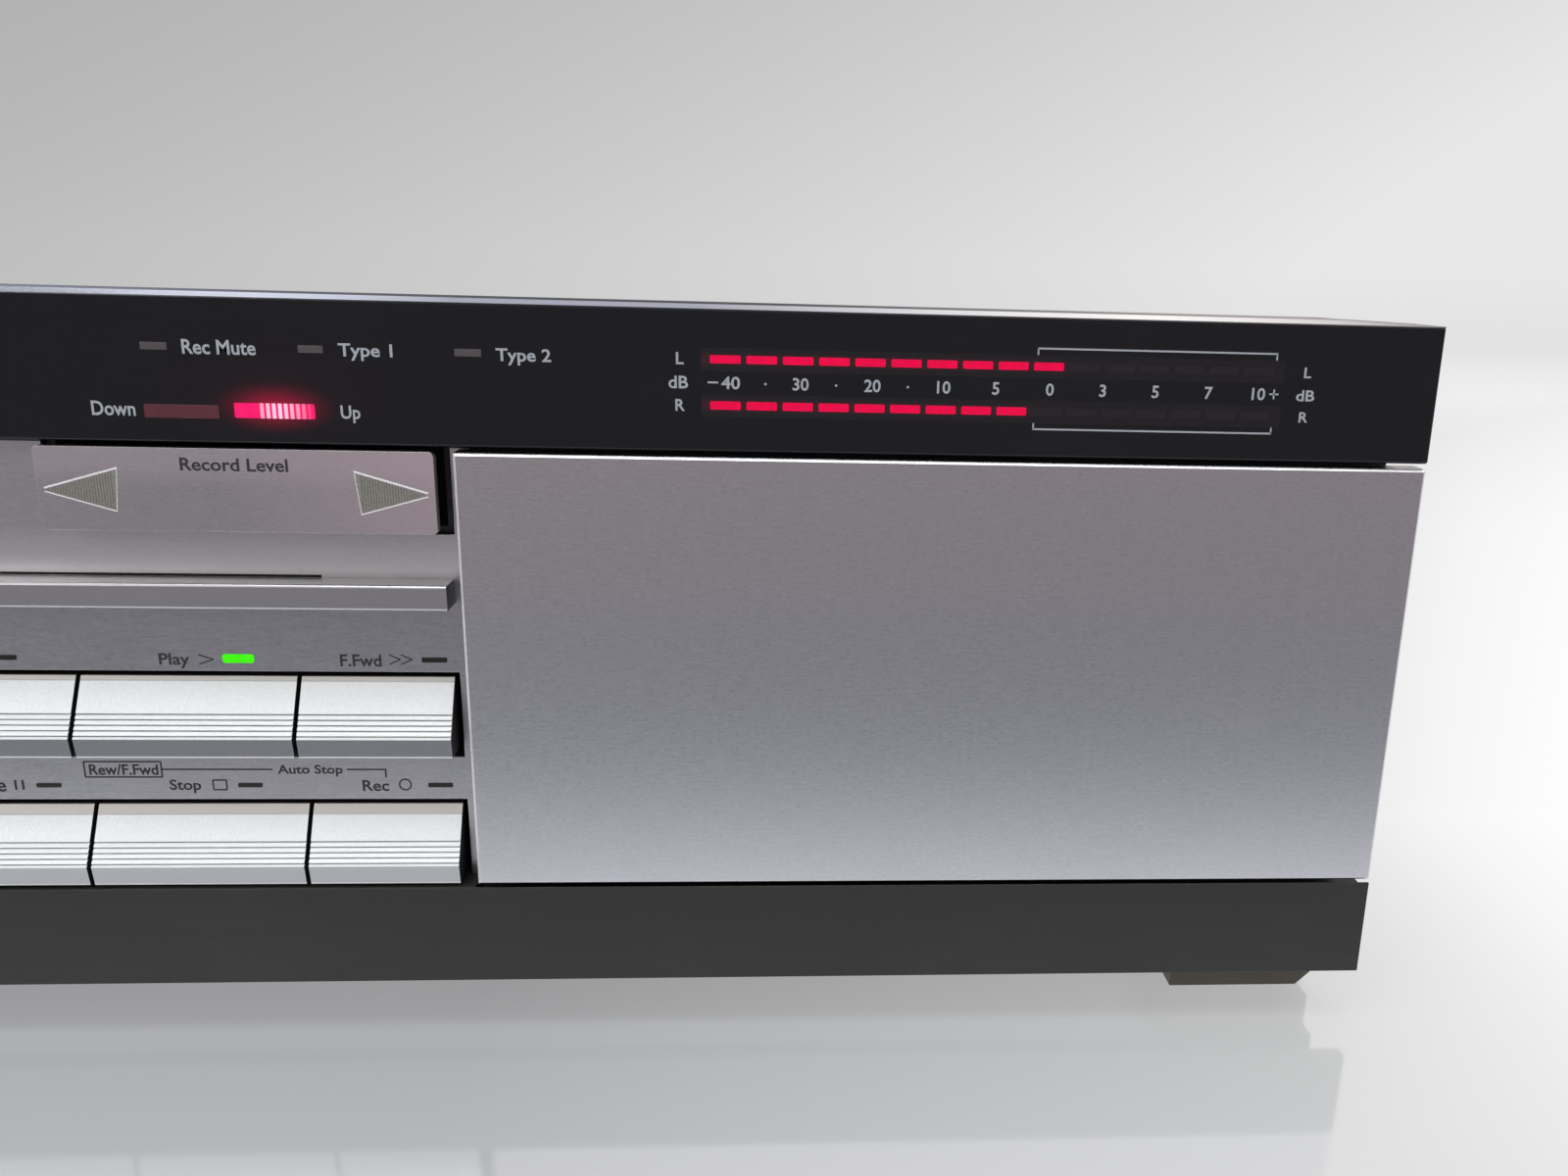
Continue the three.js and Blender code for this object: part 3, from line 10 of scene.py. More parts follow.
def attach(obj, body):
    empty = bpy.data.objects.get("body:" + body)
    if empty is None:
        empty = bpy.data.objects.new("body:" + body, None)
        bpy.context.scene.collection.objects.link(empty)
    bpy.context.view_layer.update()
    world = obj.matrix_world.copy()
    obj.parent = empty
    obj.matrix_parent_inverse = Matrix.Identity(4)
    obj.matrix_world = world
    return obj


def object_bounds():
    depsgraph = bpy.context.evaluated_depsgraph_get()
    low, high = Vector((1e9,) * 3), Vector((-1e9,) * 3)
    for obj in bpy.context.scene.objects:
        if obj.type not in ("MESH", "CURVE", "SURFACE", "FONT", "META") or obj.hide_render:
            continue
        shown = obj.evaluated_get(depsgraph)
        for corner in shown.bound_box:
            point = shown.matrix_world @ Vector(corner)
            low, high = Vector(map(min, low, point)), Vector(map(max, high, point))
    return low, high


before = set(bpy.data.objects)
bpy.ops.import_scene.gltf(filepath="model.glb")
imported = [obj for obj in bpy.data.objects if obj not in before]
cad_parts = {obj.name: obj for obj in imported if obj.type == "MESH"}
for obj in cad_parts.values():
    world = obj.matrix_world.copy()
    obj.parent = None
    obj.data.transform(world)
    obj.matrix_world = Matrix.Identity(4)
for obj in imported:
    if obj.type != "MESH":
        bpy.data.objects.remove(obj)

bl_info = {
    "name": "Cassette Deck Dressing",
    "version": (1, 0, 0),
    "blender": (4, 5, 0),
    "location": "3D View > Sidebar > Deck",
    "description": "Finishes, legends, lamps and stage for a stereo cassette deck",
    "category": "Object",
}

CAD_LOW, CAD_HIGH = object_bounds()

# The drawing of the front measures in millimetres from the front plane, with height zero at the
# underside of the plinth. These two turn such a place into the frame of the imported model.
FRONT_Y = CAD_LOW.y * 1000
PLINTH_Z = 10.0


def place(x, y, z):
    """A point of the front drawing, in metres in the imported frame."""
    return Vector((x, y + FRONT_Y, z + PLINTH_Z)) / 1000


# Sizes and colours that a user would change


class DeckSizes(bpy.types.PropertyGroup):
    """Sizes of the dressing"""

    edge_round: FloatProperty(
        name="Edge Round", description="Radius on the edges of pressed and moulded pieces",
        default=0.00022, min=0.00002, max=0.001, precision=5, unit="LENGTH")
    print_depth: FloatProperty(
        name="Print Depth", description="How far a printed legend stands on its surface",
        default=0.00004, min=0.00001, max=0.0005, precision=5, unit="LENGTH")
    segment_width: FloatProperty(
        name="Meter Segment", description="Width of one lit segment of the level meter",
        default=0.0052, min=0.001, max=0.006, precision=4, unit="LENGTH")
    screw_radius: FloatProperty(
        name="Screw Radius", description="Radius of the cabinet screw heads",
        default=0.0033, min=0.001, max=0.006, precision=4, unit="LENGTH")
    left_level: IntProperty(
        name="Left Level", description="Lit segments of the left meter", default=10, min=0, max=16)
    right_level: IntProperty(
        name="Right Level", description="Lit segments of the right meter", default=9, min=0, max=16)


def colour(name, text, value):
    """A colour property with its name, its meaning and its default."""
    return FloatVectorProperty(
        name=name, description=text, default=value, size=3, min=0.0, max=1.0, subtype="COLOR")


class DeckColours(bpy.types.PropertyGroup):
    """Colours of the finishes"""

    satin: colour("Satin Metal", "Door, fascia and rocker", (0.57, 0.555, 0.57))
    trim: colour("Trim Metal", "Top trim and hinge pins", (0.30, 0.305, 0.35))
    pearl: colour("Pearl Key", "Upper face of the transport keys", (0.97, 0.99, 1.0))
    acrylic: colour("Dark Acrylic", "Display window", (0.0048, 0.0052, 0.0078))
    plinth: colour("Plinth", "Matte plinth below the doors", (0.0172, 0.0170, 0.0156))
    moulding: colour("Dark Moulding", "Wells, frames and panels", (0.022, 0.022, 0.024))
    paint: colour("Cabinet Paint", "Top cover, base and rear", (0.028, 0.028, 0.030))
    white_print: colour("Light Print", "Legends on the display", (0.40, 0.42, 0.46))
    dark_print: colour("Dark Print", "Legends on the metal", (0.034, 0.032, 0.034))
    red_lamp: colour("Red Lamp", "Lit meter segments", (1.0, 0.004, 0.075))
    green_lamp: colour("Green Lamp", "Lit play lamp", (0.055, 1.0, 0.004))


class DeckStage(bpy.types.PropertyGroup):
    """Floor, light and view"""

    floor: colour("Floor", "Pale studio floor", (0.60, 0.61, 0.62))
    lamp_power: FloatProperty(
        name="Lamp Power", description="Power of the main soft lamp", default=18.0, min=0.0,
        unit="POWER")
    sky_level: FloatProperty(
        name="Sky Level", description="Strength of the even light all round", default=0.55,
        min=0.0, max=2.0)


# Node building


def feed(tree, node, values):
    """Gives a node's inputs, by name or number, their values or links."""
    for key, value in values.items():
        if isinstance(value, bpy.types.NodeSocket):
            tree.links.new(value, node.inputs[key])
        else:
            node.inputs[key].default_value = value
    return node


def put(tree, kind, values=None, **settings):
    """A new node with its settings and its inputs."""
    made = tree.nodes.new(kind)
    for key, value in settings.items():
        setattr(made, key, value)
    return feed(tree, made, values or {})


def maths(tree, operation, first, second=0.0):
    """The result of a two-value sum."""
    return put(tree, "ShaderNodeMath", {0: first, 1: second}, operation=operation).outputs[0]


def times(tree, first, second):
    """The product of two values."""
    return maths(tree, "MULTIPLY", first, second)


def opaque(value):
    """A plain colour with its alpha, or a socket as it is."""
    return value if isinstance(value, bpy.types.NodeSocket) else (*value[:3], 1.0)


def blend_value(tree, factor, low, high):
    """A value between two others."""
    return put(tree, "ShaderNodeMix", {0: factor, 2: low, 3: high}, data_type="FLOAT").outputs[0]


def blend_colour(tree, factor, first, second):
    """A colour between two others."""
    values = {0: factor, 6: opaque(first), 7: opaque(second)}
    return put(tree, "ShaderNodeMix", values, data_type="RGBA").outputs[2]


def paint(tree, shade, mask, share, tint):
    """A colour laid over a shade where a mask says, as strongly as its share."""
    return blend_colour(tree, times(tree, mask, share), shade, tint)


def remap(tree, value, low, high, to_low=0.0, to_high=1.0):
    """A value moved from one range to another, held inside it."""
    values = {0: value, 1: low, 2: high, 3: to_low, 4: to_high}
    return put(tree, "ShaderNodeMapRange", values, clamp=True).outputs[0]


def axis_of(tree, vector, axis):
    """One axis of a vector."""
    return put(tree, "ShaderNodeSeparateXYZ", {0: vector}).outputs[axis]


def facing(tree, axis):
    """How far a face looks along an axis."""
    return axis_of(tree, put(tree, "ShaderNodeNewGeometry").outputs["Normal"], axis)


def vector_sum(tree, operation, first, second=(0.0, 0.0, 0.0), output=0):
    """The result of a sum on vectors."""
    return put(tree, "ShaderNodeVectorMath", {0: first, 1: second}, operation=operation).outputs[output]


def noise(tree, vector, scale, detail, roughness=0.5, distortion=0.0):
    """Soft random clouds at a scale."""
    return put(tree, "ShaderNodeTexNoise", {
        "Vector": vector, "Scale": scale, "Detail": detail, "Roughness": roughness,
        "Distortion": distortion}).outputs[0]


VECTOR, VALUE = "NodeSocketVector", "NodeSocketFloat"


def new_group(name, inputs, outputs):
    """An empty shader group that takes a place and named values, and puts out named values."""
    group = bpy.data.node_groups.new(name, "ShaderNodeTree")
    group.interface.new_socket("Vector", in_out="INPUT", socket_type=VECTOR)
    for socket, value in inputs.items():
        group.interface.new_socket(socket, in_out="INPUT", socket_type=VALUE).default_value = value
    for socket in outputs:
        group.interface.new_socket(socket, in_out="OUTPUT", socket_type=VALUE)
    return group, group.nodes.new("NodeGroupInput").outputs, group.nodes.new("NodeGroupOutput")


def hairline_group():
    """Long fine scratches along X, as a brushing belt leaves them."""
    group, given, result = new_group(
        "Hairline Grain", {"Length": 260.0, "Fineness": 2600.0}, ["Shade", "Height"])
    stretch = put(group, "ShaderNodeCombineXYZ", {
        0: given["Length"], 1: given["Fineness"], 2: given["Fineness"]})
    spread = vector_sum(group, "MULTIPLY", given["Vector"], stretch.outputs[0])
    lines = noise(group, spread, 1.0, 3.0, 0.7)
    specks = noise(group, vector_sum(group, "MULTIPLY", spread, (4.0, 1.2, 1.2)), 1.0, 2.0, 0.6)
    both = maths(group, "ADD", times(group, lines, 0.45), times(group, specks, 0.55))
    feed(group, result, {"Shade": remap(group, both, 0.3, 0.7), "Height": both})
    return group


def skin_group():
    """The fine pebbled skin of moulded plastic and texture paint."""
    group, given, result = new_group("Moulded Skin", {"Fineness": 1800.0}, ["Shade", "Height"])
    cells = put(group, "ShaderNodeTexVoronoi", {
        "Vector": given["Vector"], "Scale": given["Fineness"]}, feature="SMOOTH_F1")
    drift = noise(group, given["Vector"], given["Fineness"], 4.0)
    height = maths(group, "ADD", times(group, cells.outputs["Distance"], 0.6), times(group, drift, 0.7))
    feed(group, result, {"Shade": remap(group, height, 0.2, 0.9), "Height": height})
    return group


def wear_group():
    """Where edges have rubbed, broken up so that the line is uneven."""
    group, given, result = new_group("Edge Wear", {"Reach": 0.0005}, ["Mask"])
    turned = put(group, "ShaderNodeBevel", {"Radius": given["Reach"]}, samples=4)
    plain = put(group, "ShaderNodeNewGeometry")
    across = vector_sum(group, "DOT_PRODUCT", turned.outputs[0], plain.outputs["Normal"], "Value")
    near = remap(group, across, 0.995, 0.88)
    patches = remap(group, noise(group, given["Vector"], 160.0, 5.0, 0.65), 0.42, 0.62)
    feed(group, result, {"Mask": times(group, near, patches)})
    return group


def dust_group():
    """A thin film of dust, thicker on faces that look up."""
    group, given, result = new_group("Dust Film", {}, ["Mask"])
    settled = remap(group, facing(group, "Z"), 0.0, 1.0, 0.15, 1.0)
    clouds = remap(group, noise(group, given["Vector"], 22.0, 6.0, 0.7), 0.4, 0.75, 0.0, 0.6)
    motes = remap(group, noise(group, given["Vector"], 2600.0, 1.0), 0.66, 0.74, 0.0, 0.1)
    feed(group, result, {"Mask": times(group, maths(group, "ADD", clouds, motes), settled)})
    return group


def touch_group():
    """Faint wiped and handled patches that change the gloss."""
    group, given, result = new_group("Handling Marks", {"Size": 30.0}, ["Mask"])
    patch = noise(group, given["Vector"], given["Size"], 3.0, distortion=0.6)
    wipe = vector_sum(group, "MULTIPLY", given["Vector"], (60.0, 500.0, 420.0))
    streaks = noise(group, wipe, 1.0, 2.0)
    both = times(group, remap(group, patch, 0.4, 0.7), remap(group, streaks, 0.35, 0.7))
    feed(group, result, {"Mask": both})
    return group


GROUP_MAKERS = {
    "Hairline Grain": hairline_group,
    "Moulded Skin": skin_group,
    "Edge Wear": wear_group,
    "Dust Film": dust_group,
    "Handling Marks": touch_group,
}


def effect(tree, name, where, **values):
    """The outputs of one of the shared effects, placed in a material with its own values."""
    group = bpy.data.node_groups.get(name) or GROUP_MAKERS[name]()
    return put(tree, "ShaderNodeGroup", {"Vector": where, **values}, node_tree=group).outputs


def rgb(value, factor=1.0):
    """A colour for a socket, made lighter or darker."""
    return tuple(min(1.0, part * factor) for part in value[:3]) + (1.0,)


def new_material(name, constants):
    """A material with the shader's constant values, its tree, shader and object coordinates."""
    material = bpy.data.materials.new(name)
    material.use_nodes = True
    tree = material.node_tree
    shader = feed(tree, tree.nodes["Principled BSDF"], constants)
    return material, tree, shader, put(tree, "ShaderNodeTexCoord").outputs["Object"]


DUST_TINT = (0.42, 0.40, 0.37)
DUST_ROUGHNESS = 0.85


def lay_dust(tree, where, shade, rough, amount):
    """Dust over a colour and a roughness."""
    mask = times(tree, effect(tree, "Dust Film", where)[0], amount)
    return blend_colour(tree, mask, shade, DUST_TINT), blend_value(tree, mask, rough, DUST_ROUGHNESS)


def bump(tree, shader, height, distance):
    """Relief on a shader, from a height between zero and one and its real depth."""
    made = put(tree, "ShaderNodeBump", {"Strength": 1.0, "Distance": distance, "Height": height})
    feed(tree, shader, {"Normal": made.outputs[0]})


# Masks: one where they say, zero elsewhere, at places of the front drawing in millimetres

DRAWING_ORIGIN = {"X": 0.0, "Y": FRONT_Y, "Z": PLINTH_Z}


def ramp(tree, where, axis, start, end, to_low=0.0, to_high=1.0):
    """A value that changes between two places along an axis."""
    start, end = ((at + DRAWING_ORIGIN[axis]) / 1000 for at in (start, end))
    return remap(tree, axis_of(tree, where, axis), start, end, to_low, to_high)


def behind(tree, where, depth):
    """Whatever lies behind a depth."""
    return ramp(tree, where, "Y", depth, depth + 0.05)


def height_band(tree, where, low, high, edge=0.05):
    """Whatever lies between two heights."""
    rise = ramp(tree, where, "Z", low - edge, low + edge)
    fall = ramp(tree, where, "Z", high - edge, high + edge, 1.0, 0.0)
    return times(tree, rise, fall)


def sideways(tree):
    """Faces that look left or right."""
    return remap(tree, maths(tree, "ABSOLUTE", facing(tree, "X")), 0.75, 0.9)


def narrow_slope(tree):
    """Slopes between the front and the left or right."""
    x = maths(tree, "ABSOLUTE", facing(tree, "X"))
    return times(tree, remap(tree, x, 0.12, 0.3), remap(tree, x, 0.97, 0.9))


# Finishes

RUBBED_METAL = (0.9, 0.9, 0.9)
# Painted light: a highlight on narrow slopes, light reflected from below, shade on the ends, and the colour
# behind a depth, which is a dark body or painted shade in wells
PAINTED_SLOPE_HIGHLIGHT = (0.74, 0.70, 0.71)
LIT_TINT = (0.95, 0.93, 0.92)
PAINTED_END_SHADE = (0.11, 0.115, 0.125)
DARK_BODY_AND_WELL_SHADE = (0.020, 0.020, 0.021)


def brushed(name, base, roughness, length=260.0, fineness=2600.0, wear=0.5, dust=0.12, reach=0.0006,
            ramps=(), front_share=None, light_sides=False, light_band=None, dark_ends=False,
            backing=None, dark_above=None):
    """Brushed or satin metal with hairlines, rubbed edges and a little dust.

    It can take painted reflections as other tones along an axis, painted shade that makes it
    darker in front than on top, painted highlights on the narrow slopes at its sides, painted
    light between two heights as reflected from what is below, painted shade on its ends, and a
    dark colour behind a depth and above a height: a dark body behind a face, or painted shade
    in wells.
    """
    material, tree, shader, where = new_material(name, {"Metallic": 1.0, "Coat Weight": 0.0})
    grain = effect(tree, "Hairline Grain", where, Length=length, Fineness=fineness)
    marks = effect(tree, "Handling Marks", where, Size=24.0)[0]
    worn = effect(tree, "Edge Wear", where, Reach=reach)[0]
    shade = blend_colour(tree, grain["Shade"], rgb(base, 0.87), rgb(base, 1.13))
    shade = paint(tree, shade, marks, 0.25, rgb(base, 0.86))
    shade = paint(tree, shade, worn, wear, RUBBED_METAL)
    rough = remap(tree, grain["Shade"], 0.0, 1.0, roughness - 0.05, roughness + 0.06)
    rough = blend_value(tree, times(tree, marks, 0.5), rough, roughness + 0.12)
    rough = blend_value(tree, worn, rough, roughness * 0.6)
    shade, rough = lay_dust(tree, where, shade, rough, dust)
    # Painted reflections and highlights: other tones along an axis
    for axis, start, end, share, tint in ramps:
        shade = blend_colour(tree, ramp(tree, where, axis, start, end, 0.0, share), shade, tint)
    # Painted shade: faces that look forward are darker than faces that look up
    if front_share:
        front = maths(tree, "SUBTRACT", 1.0, remap(tree, facing(tree, "Z"), 0.35, 0.8))
        shade = blend_colour(tree, front, shade, rgb(base, front_share))
    # Painted highlights on the narrow slopes at the sides, which are made nearly non-metallic
    if light_sides:
        slope = narrow_slope(tree)
        shade = blend_colour(tree, slope, shade, PAINTED_SLOPE_HIGHLIGHT)
        feed(tree, shader, {"Metallic": blend_value(tree, slope, 1.0, 0.1)})
    # Painted light between two heights, as reflected from what is below
    if light_band:
        low, high = light_band
        lit = height_band(tree, where, low, high + 50, edge=1.2)
        fade = ramp(tree, where, "Z", low, high, 0.80, 0.14)
        shade = blend_colour(tree, times(tree, lit, fade), shade, LIT_TINT)
    # Painted shade on the faces that look left or right
    if dark_ends:
        shade = blend_colour(tree, sideways(tree), shade, PAINTED_END_SHADE)
    # Dark colour behind a depth, and above a height where given: the dark body behind the rocker's face, or
    # painted shade in the fascia's wells
    if backing:
        hidden = behind(tree, where, backing)
        if dark_above:
            above = height_band(tree, where, dark_above, dark_above + 50)
            hidden = maths(tree, "MAXIMUM", hidden, above)
        shade = blend_colour(tree, hidden, shade, DARK_BODY_AND_WELL_SHADE)
        rough = blend_value(tree, hidden, rough, 0.5)
        feed(tree, shader, {"Metallic": blend_value(tree, hidden, 1.0, 0.0)})
    feed(tree, shader, {"Base Color": shade, "Roughness": rough})
    bump(tree, shader, grain["Height"], 0.00001)
    return material


def moulded(name, base, roughness, fineness=1800.0, relief=0.00002, dust=0.25, specular=0.5,
            coat=0.0, edge=None):
    """Moulded plastic, rubber or paint with its skin, rubbed edges and dust."""
    material, tree, shader, where = new_material(name, {
        "Metallic": 0.0, "Specular IOR Level": specular, "Coat Weight": coat, "Coat Roughness": 0.25})
    skin = effect(tree, "Moulded Skin", where, Fineness=fineness)
    marks = effect(tree, "Handling Marks", where, Size=26.0)[0]
    worn = effect(tree, "Edge Wear", where, Reach=0.0006)[0]
    shade = blend_colour(tree, skin["Shade"], rgb(base, 0.86), rgb(base, 1.15))
    shade = paint(tree, shade, marks, 0.3, rgb(base, 1.3))
    shade = paint(tree, shade, worn, 0.35, edge or rgb([part * 2.2 + 0.02 for part in base]))
    rough = remap(tree, skin["Shade"], 0.0, 1.0, roughness - 0.06, roughness + 0.06)
    rough = blend_value(tree, times(tree, marks, 0.5), rough, max(0.1, roughness - 0.15))
    shade, rough = lay_dust(tree, where, shade, rough, dust)
    feed(tree, shader, {"Base Color": shade, "Roughness": rough})
    bump(tree, shader, skin["Height"], relief)
    return material


# Heights of a transport key: the whole front, its crest over the foot and its ribbed part
KEY_HEIGHT = 13.8
KEY_CREST = 3.8
RIB_TOP = 3.95
RIB_PITCH = RIB_TOP / 4.55
RIB_COUNT = 5
GROOVE_HALF = 0.13
KEY_FACE_DEPTH = 6.2


def key_pearl(name, bottom, painted_foot_shade, shaded_top_band):
    """Pearl silver key: beaded slope and bright ribs, with painted shade in the rib grooves, on the foot and
    in a line under the top band, a painted highlight along the foot's bottom edge, and a smooth top band
    painted beige as shade.
    """
    pearl = bpy.context.scene.deck_colours.pearl
    material, tree, shader, where = new_material(name, {"Coat Weight": 0.1, "Coat Roughness": 0.3})
    beads = effect(tree, "Moulded Skin", where, Fineness=1900.0)
    worn = effect(tree, "Edge Wear", where, Reach=0.0004)[0]
    crest = bottom + KEY_CREST
    top = bottom + KEY_HEIGHT
    crown = top - shaded_top_band
    # Painted shade on the foot, a painted highlight along its bottom edge, painted shade in the grooves
    # between the ribs, and a top band painted beige as shade with a darker painted line under it
    painted_light_bands = [(bottom - 1, crest - 0.15, 1.0, painted_foot_shade), (bottom - 1, bottom + 0.3, 1.0, (0.78, 0.78, 0.78))]
    for rib in range(RIB_COUNT):
        groove = crest + RIB_TOP - (rib + 0.125) * RIB_PITCH
        painted_light_bands.append((groove - GROOVE_HALF, groove + GROOVE_HALF, 0.9, (0.12, 0.12, 0.135)))
    painted_light_bands += [(crown, top + 1, 0.85, (0.62, 0.575, 0.525)), (crown - 0.16, crown, 0.5, (0.25, 0.25, 0.25))]
    shade = blend_colour(tree, beads["Shade"], rgb(pearl, 0.94), rgb(pearl, 1.12))
    for low, high, share, tint in painted_light_bands:
        shade = paint(tree, shade, height_band(tree, where, low, high), share, tint)
    shade = paint(tree, shade, worn, 0.3, RUBBED_METAL)
    rough = remap(tree, beads["Shade"], 0.0, 1.0, 0.30, 0.46)
    shade, rough = lay_dust(tree, where, shade, rough, 0.06)
    hidden = maths(tree, "MAXIMUM", sideways(tree), behind(tree, where, KEY_FACE_DEPTH))
    feed(tree, shader, {
        "Base Color": blend_colour(tree, hidden, shade, (0.014, 0.014, 0.016)),
        "Roughness": blend_value(tree, hidden, rough, 0.6),
        "Metallic": blend_value(tree, hidden, 0.05, 0.0)})
    slope = height_band(tree, where, crest + RIB_TOP, crown)
    bump(tree, shader, times(tree, beads["Height"], blend_value(tree, slope, 0.25, 1.0)), 0.00012)
    return material


def lamp_glow(tree, where, centre, radii, tint, power):
    """Light that fades out from a centre inside a clear body."""
    offset = vector_sum(tree, "SUBTRACT", where, tuple(place(*centre)))
    sized = vector_sum(tree, "MULTIPLY", offset, tuple(1000 / part for part in radii))
    far = vector_sum(tree, "LENGTH", sized, output="Value")
    fade = maths(tree, "POWER", remap(tree, far, 0.0, 1.0, 1.0, 0.0), 2.2)
    return blend_colour(tree, times(tree, fade, power), (0.0, 0.0, 0.0), tint)


def acrylic(name, base):
    """Glossy dark acrylic with wipe marks, and the light that the fader lamp spreads inside it."""
    material, tree, shader, where = new_material(name, {
        "Metallic": 0.0, "Specular IOR Level": 0.32, "Emission Strength": 1.0})
    marks = effect(tree, "Handling Marks", where, Size=18.0)[0]
    worn = effect(tree, "Edge Wear", where, Reach=0.0003)[0]
    shade = blend_colour(tree, marks, rgb(base), rgb(base, 1.5))
    shade = paint(tree, shade, worn, 0.12, (0.10, 0.10, 0.11))
    rough = blend_value(tree, marks, 0.20, 0.28)
    shade, rough = lay_dust(tree, where, shade, rough, 0.03)
    near = lamp_glow(tree, where, (24.8, 0, 107.4), (11.5, 4, 5), (0.55, 0.0, 0.045), 0.75)
    wide = lamp_glow(tree, where, (24.8, 0, 110), (24, 4, 12), (0.30, 0.0, 0.05), 0.03)
    light = put(tree, "ShaderNodeMix", {0: 1.0, 6: near, 7: wide}, data_type="RGBA", blend_type="ADD")
    feed(tree, shader, {"Base Color": shade, "Roughness": rough, "Emission Color": light.outputs[2]})
    bump(tree, shader, marks, 0.000004)
    return material


def smoked_glass(name):
    """Clear smoked pane with faint wipe marks."""
    material, tree, shader, where = new_material(name, {
        "Metallic": 0.0, "Transmission Weight": 0.97, "IOR": 1.49, "Alpha": 1.0})
    marks = effect(tree, "Handling Marks", where, Size=22.0)[0]
    feed(tree, shader, {
        "Base Color": blend_colour(tree, marks, (0.42, 0.42, 0.43), (0.38, 0.38, 0.39)),
        "Roughness": blend_value(tree, marks, 0.03, 0.09)})
    return material


def printed(name, base, contrast=0.08):
    """Screen-printed ink with slightly uneven cover."""
    material, tree, shader, where = new_material(name, {"Metallic": 0.0, "Specular IOR Level": 0.35})
    skin = effect(tree, "Moulded Skin", where, Fineness=4200.0)
    feed(tree, shader, {
        "Base Color": blend_colour(tree, skin["Shade"], rgb(base, 1 - contrast), rgb(base, 1 + contrast)),
        "Roughness": remap(tree, skin["Shade"], 0.0, 1.0, 0.45, 0.6)})
    bump(tree, shader, skin["Height"], 0.000006)
    return material


METER_LEFT, METER_PITCH, METER_STEPS = 97.2, 6.17, 16
METER_ROWS = {"left": (116.3, 117.65), "right": (108.55, 109.95)}


def lit_steps(row):
    """How many segments of a meter row are lit."""
    sizes = bpy.context.scene.deck_sizes
    return sizes.left_level if row == "left" else sizes.right_level


def channel_ink(name):
    """Meter channels: a shade lighter than the window, with a painted dark red glow that the lit segments
    spill along them.
    """
    material, tree, shader, where = new_material(name, {
        "Metallic": 0.0, "Specular IOR Level": 0.25, "Emission Strength": 1.0})
    skin = effect(tree, "Moulded Skin", where, Fineness=900.0)
    spill_glows = []
    for row, (low, high) in METER_ROWS.items():
        end = METER_LEFT / 1000 + (lit_steps(row) - 1) * METER_PITCH / 1000
        end += bpy.context.scene.deck_sizes.segment_width
        middle = ((low + high) / 2 + PLINTH_Z) / 1000
        away = maths(tree, "ABSOLUTE", maths(tree, "SUBTRACT", axis_of(tree, where, "Z"), middle))
        near = maths(tree, "POWER", remap(tree, away, 0.0014, 0.0006), 1.6)
        spill_glows.append(times(tree, near, remap(tree, axis_of(tree, where, "X"), end + 0.0016, end)))
    # Painted glow: the red light that the lit segments spill along their channel
    spill_glow = maths(tree, "MAXIMUM", *spill_glows)
    feed(tree, shader, {
        "Emission Color": blend_colour(tree, spill_glow, (0.0, 0.0, 0.0), (0.022, 0.0005, 0.003)),
        "Base Color": blend_colour(tree, skin["Shade"], (0.0130, 0.0105, 0.0130), (0.0165, 0.0130, 0.0160)),
        "Roughness": remap(tree, skin["Shade"], 0.0, 1.0, 0.35, 0.5)})
    bump(tree, shader, skin["Height"], 0.000004)
    return material


def lamp(name, base, tint, power, stripes=None, gloss=0.4):
    """A lamp behind a tinted lens, with bright bars from one place to another where asked."""
    material, tree, shader, where = new_material(name, {
        "Metallic": 0.0, "Specular IOR Level": gloss, "Emission Strength": power})
    cloud = effect(tree, "Moulded Skin", where, Fineness=900.0)["Shade"]
    glow = blend_colour(tree, cloud, rgb(tint, 0.82), rgb(tint))
    if stripes:
        left, right, count = stripes
        x = axis_of(tree, where, "X")
        phase = remap(tree, x, left / 1000, right / 1000, 0.0, float(count))
        inside = times(tree, maths(tree, "GREATER_THAN", x, left / 1000),
                       maths(tree, "LESS_THAN", x, right / 1000))
        bars = times(tree, remap(tree, maths(tree, "PINGPONG", phase, 0.5), 0.12, 0.30), inside)
        away = maths(tree, "ABSOLUTE", maths(tree, "SUBTRACT", phase, count * 0.36))
        heart = remap(tree, away, count * 0.62, 0.4)
        glow = blend_colour(tree, times(tree, bars, heart), glow, (1.0, 0.74, 0.90))
    feed(tree, shader, {
        "Emission Color": glow,
        "Base Color": blend_colour(tree, cloud, rgb(base, 0.9), rgb(base, 1.1)),
        "Roughness": remap(tree, cloud, 0.0, 1.0, 0.25, 0.4)})
    return material


def board_resist(name):
    """Green circuit board with lighter tracks under the resist."""
    material, tree, shader, where = new_material(name, {"Metallic": 0.0})
    spread = vector_sum(tree, "MULTIPLY", where, (260.0, 260.0, 260.0))
    tracks = put(tree, "ShaderNodeTexBrick", {
        "Vector": spread, "Scale": 1.0, "Mortar Size": 0.09, "Brick Width": 1.7,
        "Row Height": 0.6}).outputs["Fac"]
    shade = blend_colour(tree, tracks, (0.022, 0.085, 0.040), (0.05, 0.17, 0.075))
    shade, rough = lay_dust(tree, where, shade, 0.4, 0.3)
    feed(tree, shader, {"Base Color": shade, "Roughness": rough})
    bump(tree, shader, tracks, 0.00004)
    return material


